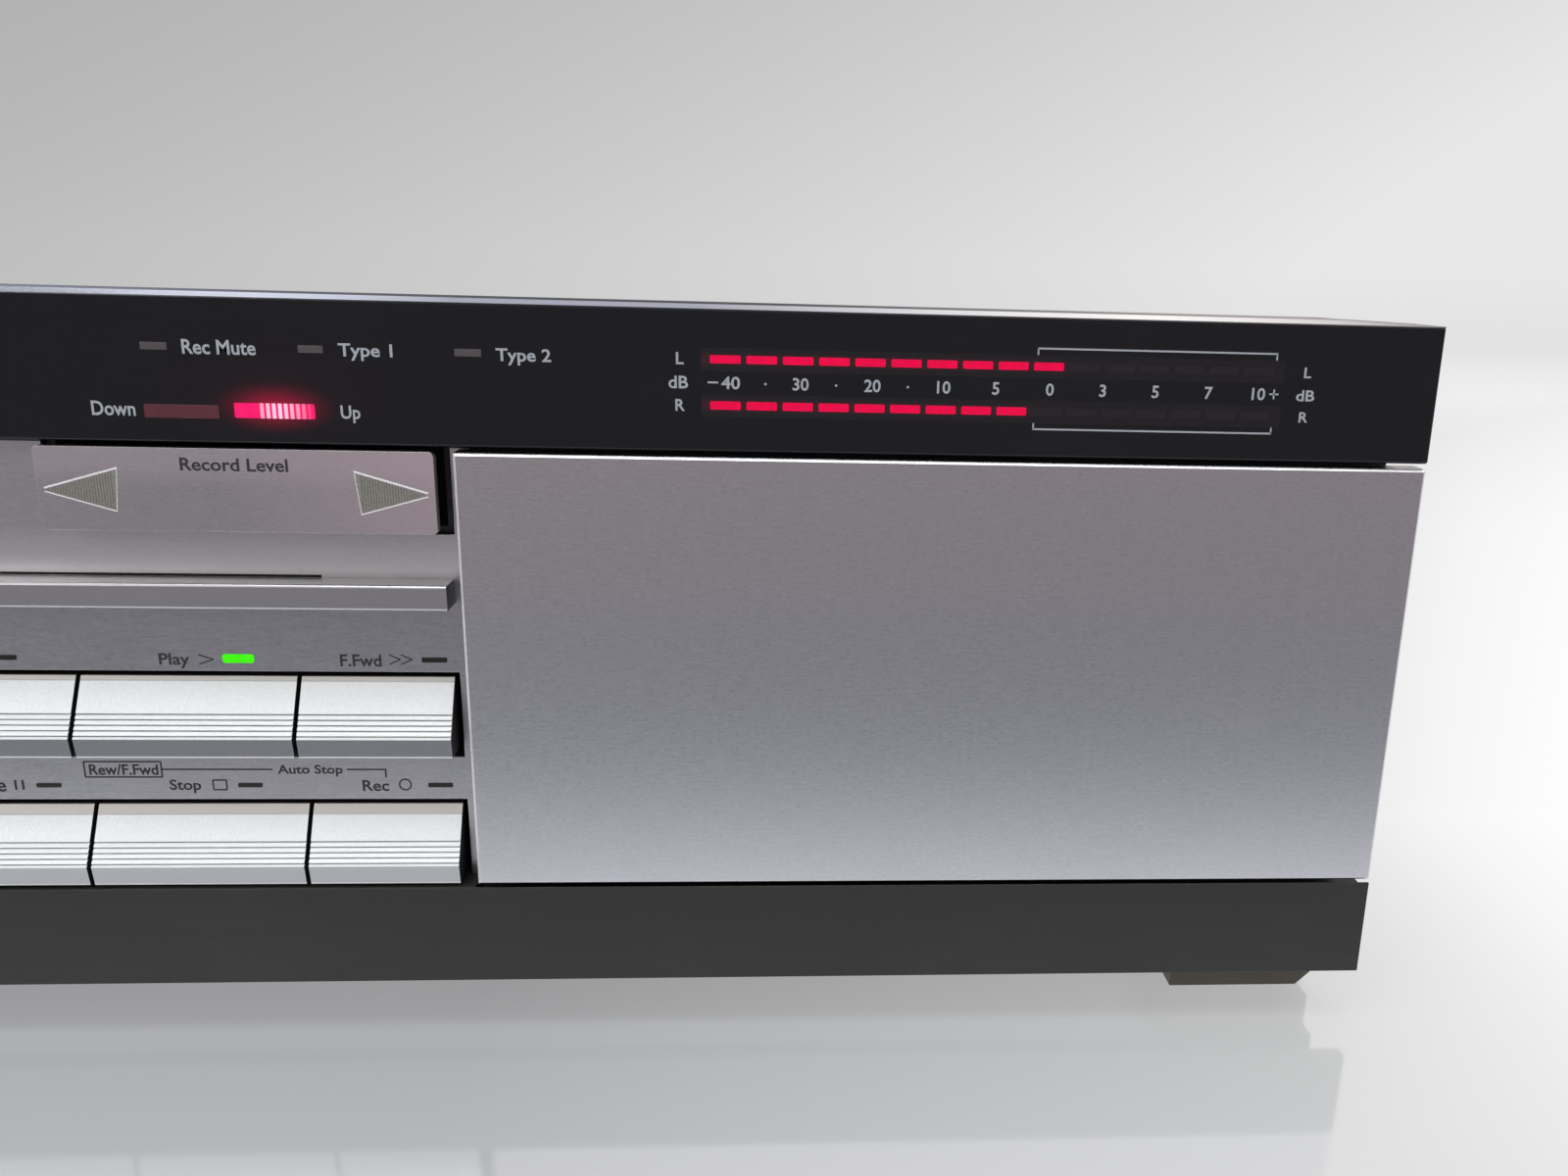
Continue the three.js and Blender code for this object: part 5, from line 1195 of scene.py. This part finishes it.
class DECK_OT_panel_legends(bpy.types.Operator):
    """Print the legends and the knob scales of the panel behind the control door"""

    bl_idname = "deck.panel_legends"
    bl_label = "Panel Legends"

    def execute(self, context):
        mesh = bmesh.new()
        d = depth_mm()
        names = {"left": "Input L", "right": "Input R", "output": "Output"}
        for name, x in KNOB_PLACES.items():
            add_text(mesh, names[name], PANEL_FACE, 88.3, 91.0, centre=x)
            for tick in range(11):
                angle = math.radians(-150 + tick * 30)
                numbered = tick % 5 == 0
                start, end = dial_point(x, angle, 12.6), dial_point(x, angle, 14.6 if numbered else 14.0)
                add_line(mesh, start, end, 0.35, PANEL_FACE, d)
                if numbered:
                    across, level = dial_point(x, angle, 16.4)
                    add_text(mesh, str(tick), PANEL_FACE, level - 0.9, level + 0.9, centre=across)
        for words, x in [("Monitor", KNOB_PLACES["left"]), ("Timer", KNOB_PLACES["right"]),
                         ("Tape", KNOB_PLACES["output"]), ("Phones", PHONES_PLACE)]:
            add_text(mesh, words, PANEL_FACE, 44.6, 47.0, centre=x)
        for x in KNOB_PLACES.values():
            for mark in (-3, 0, 3):
                add_line(mesh, (x + mark, 39.4), (x + mark, 41.2), 0.35, PANEL_FACE, d)
        add_piece("panel_legends", mesh, "pale_ink", "chassis")
        return report_done(self, "panel printed")


class DECK_OT_knob_pointers(bpy.types.Operator):
    """Fill the pointer grooves of the level knobs with white"""

    bl_idname = "deck.knob_pointers"
    bl_label = "Knob Pointers"

    def execute(self, context):
        for name, x in KNOB_PLACES.items():
            mesh = bmesh.new()
            low, high = KNOB_LEVEL + 3.9, KNOB_LEVEL + 10.4
            add_box(mesh, (x - 0.32, x + 0.32), (9.85, 10.3), (low, high), 0.05, 1)
            add_piece("pointer_" + name, mesh, "jack_white", "level_knob_" + name)
        return report_done(self, "pointers filled")


class DECK_OT_tape_scale(bpy.types.Operator):
    """Print the tape scale on the cassette window"""

    bl_idname = "deck.tape_scale"
    bl_label = "Tape Scale"

    def execute(self, context):
        mesh = bmesh.new()
        d = depth_mm()
        middle, level, pitch = -118.0, 38.6, 3.0
        for tick in range(-10, 11):
            x = middle + tick * pitch
            tall = 2.2 if tick % 5 == 0 else 1.2
            add_line(mesh, (x, level), (x, level + tall), 0.25, PANE_FACE, d)
        for tick in (-10, -5, 0, 5, 10):
            number = str(abs(tick) * 10)
            add_text(mesh, number, PANE_FACE, level + 2.9, level + 4.7, centre=middle + tick * pitch)
        add_piece("tape_scale", mesh, "pale_ink", "cassette_door")
        return report_done(self, "tape scale printed")


# Cabinet: screws, rear legends and socket rings

COVER_SIDE = 221
REAR_FACE = 291
SCREW_LOW, SCREW_HIGH = 7.5, 109


def cut_cross(head, radius):
    """Sinks a cross recess into a screw head and gives back the finished mesh."""
    cutter_mesh = bmesh.new()
    lift = Matrix.Translation((0, 0, radius * 0.36))
    for wide, deep in ((0.95, 0.26), (0.26, 0.95)):
        made = bmesh.ops.create_cube(cutter_mesh, size=1.0)
        size = Matrix.Diagonal((radius * wide, radius * deep, radius * 0.5, 1.0))
        bmesh.ops.transform(cutter_mesh, verts=made["verts"], matrix=lift @ size)
    data = bpy.data.meshes.new("cross")
    cutter_mesh.to_mesh(data)
    cutter_mesh.free()
    cutter = bpy.data.objects.new("cross", data)
    holder = bpy.data.objects.new("screw head", head)
    for item in (cutter, holder):
        bpy.context.scene.collection.objects.link(item)
    cut = holder.modifiers.new("Cross", "BOOLEAN")
    cut.operation = "DIFFERENCE"
    cut.solver = "EXACT"
    cut.use_self = True
    cut.object = cutter
    graph = bpy.context.evaluated_depsgraph_get()
    result = bpy.data.meshes.new_from_object(holder.evaluated_get(graph))
    for item in (cutter, holder):
        bpy.data.objects.remove(item)
    bpy.data.meshes.remove(data)
    return result


# Half section of a screw head, from its crown to its underside, as shares of its radius
SCREW_SECTION = [
    (0.0, 0.42), (0.35, 0.40), (0.68, 0.31), (0.92, 0.15), (1.0, 0.0), (1.0, -0.12), (0.0, -0.12)]


def screw_head(radius):
    """A domed screw head with a cross recess, seated on its origin and facing up."""
    mesh = bmesh.new()
    verts = [mesh.verts.new((x * radius, 0, z * radius)) for x, z in SCREW_SECTION]
    edges = [mesh.edges.new(pair) for pair in zip(verts, verts[1:])]
    bmesh.ops.spin(mesh, geom=verts + edges, cent=(0, 0, 0), axis=(0, 0, 1), angle=math.tau, steps=28,
                   use_merge=True)
    bmesh.ops.remove_doubles(mesh, verts=mesh.verts[:], dist=radius * 0.001)
    bmesh.ops.recalc_face_normals(mesh, faces=mesh.faces[:])
    head = bpy.data.meshes.new("screw head")
    mesh.to_mesh(head)
    mesh.free()
    result = cut_cross(head, radius)
    bpy.data.meshes.remove(head)
    return result


# Degrees by which the cross of the first screw of a row is turned, and of each one after it
FIRST_TURN, NEXT_TURN = 17, 53


def add_screws(name, places, outward):
    """Screws at places of the front drawing, all facing one way."""
    prototype = screw_head(bpy.context.scene.deck_sizes.screw_radius)
    turn = Vector(outward).to_track_quat("Z", "Y").to_matrix().to_4x4()
    mesh = bmesh.new()
    for index, at in enumerate(places):
        before = len(mesh.verts)
        mesh.from_mesh(prototype)
        mesh.verts.ensure_lookup_table()
        spin = Matrix.Rotation(math.radians(FIRST_TURN + NEXT_TURN * index), 4, "Z")
        matrix = Matrix.Translation(place(*at)) @ turn @ spin
        bmesh.ops.transform(mesh, verts=mesh.verts[before:], matrix=matrix)
    bpy.data.meshes.remove(prototype)
    add_piece(name, mesh, "screw_steel", "chassis")


class DECK_OT_cabinet_screws(bpy.types.Operator):
    """Make the screws that hold the cover, the rear panel and the base"""

    bl_idname = "deck.cabinet_screws"
    bl_label = "Cabinet Screws"

    def execute(self, context):
        for name, side in (("left", -1), ("right", 1)):
            cover = [(side * COVER_SIDE, y, SCREW_LOW) for y in (55, 150, 245)]
            add_screws("cover_screws_" + name, cover, (side, 0, 0))
        rear = [(x, REAR_FACE, z) for z in (SCREW_HIGH, SCREW_LOW) for x in (-208, -70, 70, 208)]
        add_screws("rear_screws", rear, (0, 1, 0))
        base = [(x, y, 0) for x in (-150, 0, 150) for y in (70, 225)]
        add_screws("base_screws", base, (0, 0, -1))
        return report_done(self, "screws made")


class DECK_OT_rear_legends(bpy.types.Operator):
    """Print the plain legends of the rear panel and colour its sockets"""

    bl_idname = "deck.rear_legends"
    bl_label = "Rear Legends"

    def execute(self, context):
        mesh = bmesh.new()
        d = depth_mm()
        for words, low, high, centre in [
            ("LINE", 84.4, 87.2, 120.0), ("IN", 79.2, 81.7, 112.0), ("OUT", 79.2, 81.7, 128.0),
            ("L", 68.6, 71.4, 139.0), ("R", 52.6, 55.4, 139.0), ("AC IN", 54.6, 57.6, -170.0),
        ]:
            add_text(mesh, words, REAR_FACE, low, high, centre=centre, back=True)
        for start, end in [((102, 46), (137, 46)), ((102, 46), (102, 78)), ((102, 78), (137, 78)),
                           ((137, 46), (137, 78))]:
            add_line(mesh, start, end, 0.35, REAR_FACE + d, d)
        add_piece("rear_legends", mesh, "pale_ink", "chassis")
        for name, level, ink in (("left", 70.0, "jack_white"), ("right", 54.0, "jack_red")):
            rings = bmesh.new()
            for column in (112.0, 128.0):
                add_ring(rings, (column, level), 5.6, 2.4, REAR_FACE, 0.8, sides=36, back=True)
            add_piece("socket_rings_" + name, rings, ink, "chassis")
        return report_done(self, "rear printed")


# Stage

# The camera that was fitted to the photograph: place, turns and focal length in its pixels
CAMERA_PLACE = (0.109, -0.3889, 0.1433)
CAMERA_PITCH, CAMERA_YAW, CAMERA_ROLL = 0.2857, -0.07727, 0.0279
FOCAL_PIXELS, IMAGE_SIZE, CENTRE_PIXELS = 1400.0, (1600, 1200), (897.7, 680.0)
SENSOR_WIDTH = 36.0

# Half the floor's side and the wall's height in metres, and the point of the floor from which its
# tones fan out
ROOM_SIZE = 4.0
FAN_POINT = (0.109, -0.389)

# The overhead lamp's tint, and the power of the front lamp as a share of the overhead one's
DAYLIGHT = (0.935, 0.975, 1.0)
FRONT_SHARE = 0.33


def show_by_ray(tree, others, mirrors, camera, output):
    """Shows one shader to the camera, one to mirror and glass rays, and one to all other light."""
    path = put(tree, "ShaderNodeLightPath").outputs
    shiny = maths(tree, "MAXIMUM", path["Is Glossy Ray"], path["Is Transmission Ray"])
    first = put(tree, "ShaderNodeMixShader", {0: shiny, 1: others, 2: mirrors}).outputs[0]
    second = put(tree, "ShaderNodeMixShader", {0: path["Is Camera Ray"], 1: first, 2: camera})
    feed(tree, output, {"Surface": second.outputs[0]})


def floor_material():
    """Pale polished floor: it keeps shadows, mirrors the deck softly and looks pale to the camera."""
    material, tree, lit, where = new_material("pale_floor", {
        "Specular IOR Level": 0.3, "Roughness": 0.5, "Base Color": rgb(bpy.context.scene.deck_stage.floor)})
    x, y, z = (axis_of(tree, where, axis) for axis in "XYZ")

    # What the camera sees: a soft slanting gradient, lighter to the right, with a faint mirror
    # that fades out to the right of the deck and behind it
    slant = maths(tree, "ADD", x, times(tree, z, -1.8))
    rising = maths(tree, "POWER", remap(tree, slant, -4.13, 1.13), 1.6)
    wall = blend_colour(tree, rising, (0.43, 0.43, 0.43), (0.80, 0.80, 0.80))
    deep = maths(tree, "MAXIMUM", maths(tree, "SUBTRACT", y, FAN_POINT[1]), 0.34)
    across = maths(tree, "DIVIDE", maths(tree, "SUBTRACT", x, FAN_POINT[0]), deep)
    ground = blend_colour(tree, remap(tree, across, -0.17, 0.53), (0.60, 0.60, 0.61), (1.0, 1.0, 1.0))
    ground = blend_colour(tree, remap(tree, y, 0.4, 2.5), ground, wall)
    flat = remap(tree, facing(tree, "Z"), 0.9, 0.999)
    aside = maths(tree, "MAXIMUM", remap(tree, across, 0.30, 0.62), remap(tree, y, 0.3, 1.3))
    plain = put(tree, "ShaderNodeEmission", {0: blend_colour(tree, flat, wall, ground), 1: 1.0})
    shaded = times(tree, flat, remap(tree, aside, 0.0, 1.0, 0.35, 0.08))
    pale = put(tree, "ShaderNodeMixShader", {0: shaded, 1: plain.outputs[0], 2: lit.outputs[0]})
    mirror = put(tree, "ShaderNodeBsdfGlossy", {0: (1.0, 1.0, 1.0, 1.0), 1: 0.09})
    mirrored = times(tree, flat, remap(tree, aside, 0.0, 1.0, 0.28, 0.0))
    seen = put(tree, "ShaderNodeMixShader", {0: mirrored, 1: pale.outputs[0], 2: mirror.outputs[0]})

    # What metal and gloss see: bright just in front of the deck, darker and warmer far away
    far = times(tree, y, -1.0)
    front = blend_colour(tree, remap(tree, far, 0.17, 0.30), (1.20, 1.24, 1.32), (0.315, 0.33, 0.37))
    front = blend_colour(tree, remap(tree, far, 0.40, 0.95), front, (0.44, 0.372, 0.392))
    rear = blend_colour(tree, remap(tree, x, -2.2, -0.6), (0.34, 0.35, 0.44), (0.17, 0.165, 0.19))
    rear = blend_colour(tree, remap(tree, x, 0.1, 1.4), rear, (0.62, 0.58, 0.57))
    tone = blend_colour(tree, remap(tree, y, 0.1, 0.3), front, rear)
    shine = put(tree, "ShaderNodeEmission", {0: tone, 1: 1.0})
    show_by_ray(tree, lit.outputs[0], shine.outputs[0], seen.outputs[0], tree.nodes["Material Output"])
    return material


def fade_edges(light, border):
    """Lets a lamp's brightness fall to nothing at its edges, so that the floor mirrors no hard patch."""
    light.use_nodes = True
    tree = light.node_tree
    tree.nodes.clear()
    spot = put(tree, "ShaderNodeNewGeometry").outputs["Parametric"]
    level = 1.0 / (1.0 - border) ** 2
    for axis in "XY":
        across = axis_of(tree, spot, axis)
        rise, fall = remap(tree, across, 0.0, border), remap(tree, across, 1.0, 1.0 - border)
        level = times(tree, level, times(tree, rise, fall))
    glow = put(tree, "ShaderNodeEmission", {0: (1.0, 1.0, 1.0, 1.0), 1: level})
    put(tree, "ShaderNodeOutputLight", {"Surface": glow.outputs[0]})


def soft_lamp(name, place_at, target, size, power, border, tint=(1.0, 1.0, 1.0)):
    """A large soft lamp aimed at a point, which fades out over a share of its size at each side."""
    light = bpy.data.lights.new(name, "AREA")
    light.shape = "RECTANGLE"
    light.size, light.size_y = size
    light.energy = power
    light.color = tint
    fade_edges(light, border)
    holder = bpy.data.objects.new(name, light)
    holder.location = place_at
    holder.rotation_euler = (Vector(target) - Vector(place_at)).to_track_quat("-Z", "Y").to_euler()
    bpy.context.scene.collection.objects.link(holder)


def build_world():
    """Even light all round; camera, mirror and glass rays see a pale studio instead."""
    world = bpy.data.worlds.new("studio")
    bpy.context.scene.world = world
    world.use_nodes = True
    tree = world.node_tree
    tree.nodes.clear()
    way = put(tree, "ShaderNodeTexCoord").outputs["Generated"]
    x, z = axis_of(tree, way, "X"), axis_of(tree, way, "Z")
    seen = blend_colour(tree, remap(tree, x, -0.5, 0.5), (0.52, 0.52, 0.52), (0.80, 0.80, 0.80))
    mirrored = blend_colour(tree, remap(tree, z, 0.0, 0.25), (0.37, 0.335, 0.35), (0.42, 0.42, 0.43))
    mirrored = blend_colour(tree, remap(tree, z, 0.3, 0.9), mirrored, (0.95, 0.95, 0.97))
    level = bpy.context.scene.deck_stage.sky_level
    even = put(tree, "ShaderNodeBackground", {0: (1.0, 1.0, 1.0, 1.0), 1: level}).outputs[0]
    mirrors = put(tree, "ShaderNodeBackground", {0: mirrored, 1: 1.0}).outputs[0]
    camera = put(tree, "ShaderNodeBackground", {0: seen, 1: 1.0}).outputs[0]
    show_by_ray(tree, even, mirrors, camera, put(tree, "ShaderNodeOutputWorld"))


def build_camera():
    """The camera at the photograph's angle."""
    base = Matrix(((1, 0, 0), (0, 0, -1), (0, 1, 0)))
    yaw = Matrix.Rotation(CAMERA_YAW, 3, "Y")
    pitch = Matrix.Rotation(CAMERA_PITCH, 3, "X")
    roll = Matrix.Rotation(CAMERA_ROLL, 3, "Z")
    seen = roll @ pitch @ yaw @ base
    flipped = Matrix(((1, 0, 0), (0, -1, 0), (0, 0, -1))) @ seen
    data = bpy.data.cameras.new("view")
    wide, tall = IMAGE_SIZE
    data.lens = FOCAL_PIXELS / wide * SENSOR_WIDTH
    data.sensor_width = SENSOR_WIDTH
    data.shift_x = -(CENTRE_PIXELS[0] - wide / 2) / wide
    data.shift_y = (CENTRE_PIXELS[1] - tall / 2) / wide
    data.clip_start, data.clip_end = 0.01, 50.0
    holder = bpy.data.objects.new("view", data)
    holder.matrix_world = Matrix.Translation(CAMERA_PLACE) @ flipped.transposed().to_4x4()
    bpy.context.scene.collection.objects.link(holder)
    bpy.context.scene.camera = holder


class DECK_OT_stage(bpy.types.Operator):
    """Make the floor, the backdrop, the lamps, the world and the camera"""

    bl_idname = "deck.stage"
    bl_label = "Stage"

    def execute(self, context):
        stage = context.scene.deck_stage
        sheet = bmesh.new()
        bmesh.ops.create_grid(sheet, x_segments=1, y_segments=1, size=ROOM_SIZE)
        far = [edge for edge in sheet.edges if all(vert.co.y > ROOM_SIZE - 0.1 for vert in edge.verts)]
        wall = verts_of(bmesh.ops.extrude_edge_only(sheet, edges=far)["geom"])
        bmesh.ops.translate(sheet, verts=wall, vec=(0, 0, ROOM_SIZE))
        bmesh.ops.bevel(sheet, geom=far, offset=1.5, segments=16, profile=0.5, affect="EDGES", material=-1)
        for face in sheet.faces:
            face.smooth = True
        piece = new_object("studio_floor", sheet, floor_material())
        power = stage.lamp_power
        soft_lamp("overhead", (0.1, -0.2, 1.5), (0.05, 0.0, 0.05), (1.6, 1.2), power, 0.2, DAYLIGHT)
        soft_lamp("front_left", (-1.2, -1.3, 0.9), (0.0, -0.1, 0.05), (0.9, 0.9), power * FRONT_SHARE, 0.5)
        build_world()
        build_camera()
        context.scene.view_settings.view_transform = "Standard"
        return report_done(self, "stage set")


# Panel, registration and the run

STEPS = [
    DECK_OT_stage, DECK_OT_dress_front, DECK_OT_dress_keys, DECK_OT_dress_panel, DECK_OT_dress_cabinet,
    DECK_OT_dress_inside, DECK_OT_display_legends, DECK_OT_level_meter, DECK_OT_display_lamps,
    DECK_OT_tape_counter, DECK_OT_fascia_legends, DECK_OT_fascia_lamps, DECK_OT_rocker_print,
    DECK_OT_panel_legends, DECK_OT_knob_pointers, DECK_OT_tape_scale, DECK_OT_cabinet_screws,
    DECK_OT_rear_legends,
]


class DECK_PT_dressing(bpy.types.Panel):
    """Sizes, colours and steps of the deck's dressing"""

    bl_idname = "DECK_PT_dressing"
    bl_label = "Cassette Deck"
    bl_space_type = "VIEW_3D"
    bl_region_type = "UI"
    bl_category = "Deck"

    def draw(self, context):
        layout = self.layout
        scene = context.scene
        for settings in (scene.deck_sizes, scene.deck_colours, scene.deck_stage):
            column = layout.column(align=True)
            for name in settings.__annotations__:
                column.prop(settings, name)
        column = layout.column(align=True)
        for step in STEPS:
            column.operator(step.bl_idname)


CLASSES = [DeckSizes, DeckColours, DeckStage, *STEPS, DECK_PT_dressing]


def register():
    """Registers the settings, the operators and the panel."""
    for item in CLASSES:
        bpy.utils.register_class(item)
    bpy.types.Scene.deck_sizes = PointerProperty(type=DeckSizes)
    bpy.types.Scene.deck_colours = PointerProperty(type=DeckColours)
    bpy.types.Scene.deck_stage = PointerProperty(type=DeckStage)


def unregister():
    """Takes the settings, the operators and the panel away."""
    del bpy.types.Scene.deck_stage
    del bpy.types.Scene.deck_colours
    del bpy.types.Scene.deck_sizes
    for item in reversed(CLASSES):
        bpy.utils.unregister_class(item)


def main():
    """Dresses the deck."""
    register()
    for step in STEPS:
        group, name = step.bl_idname.split(".")
        getattr(getattr(bpy.ops, group), name)()


if __name__ == "__main__":
    main()
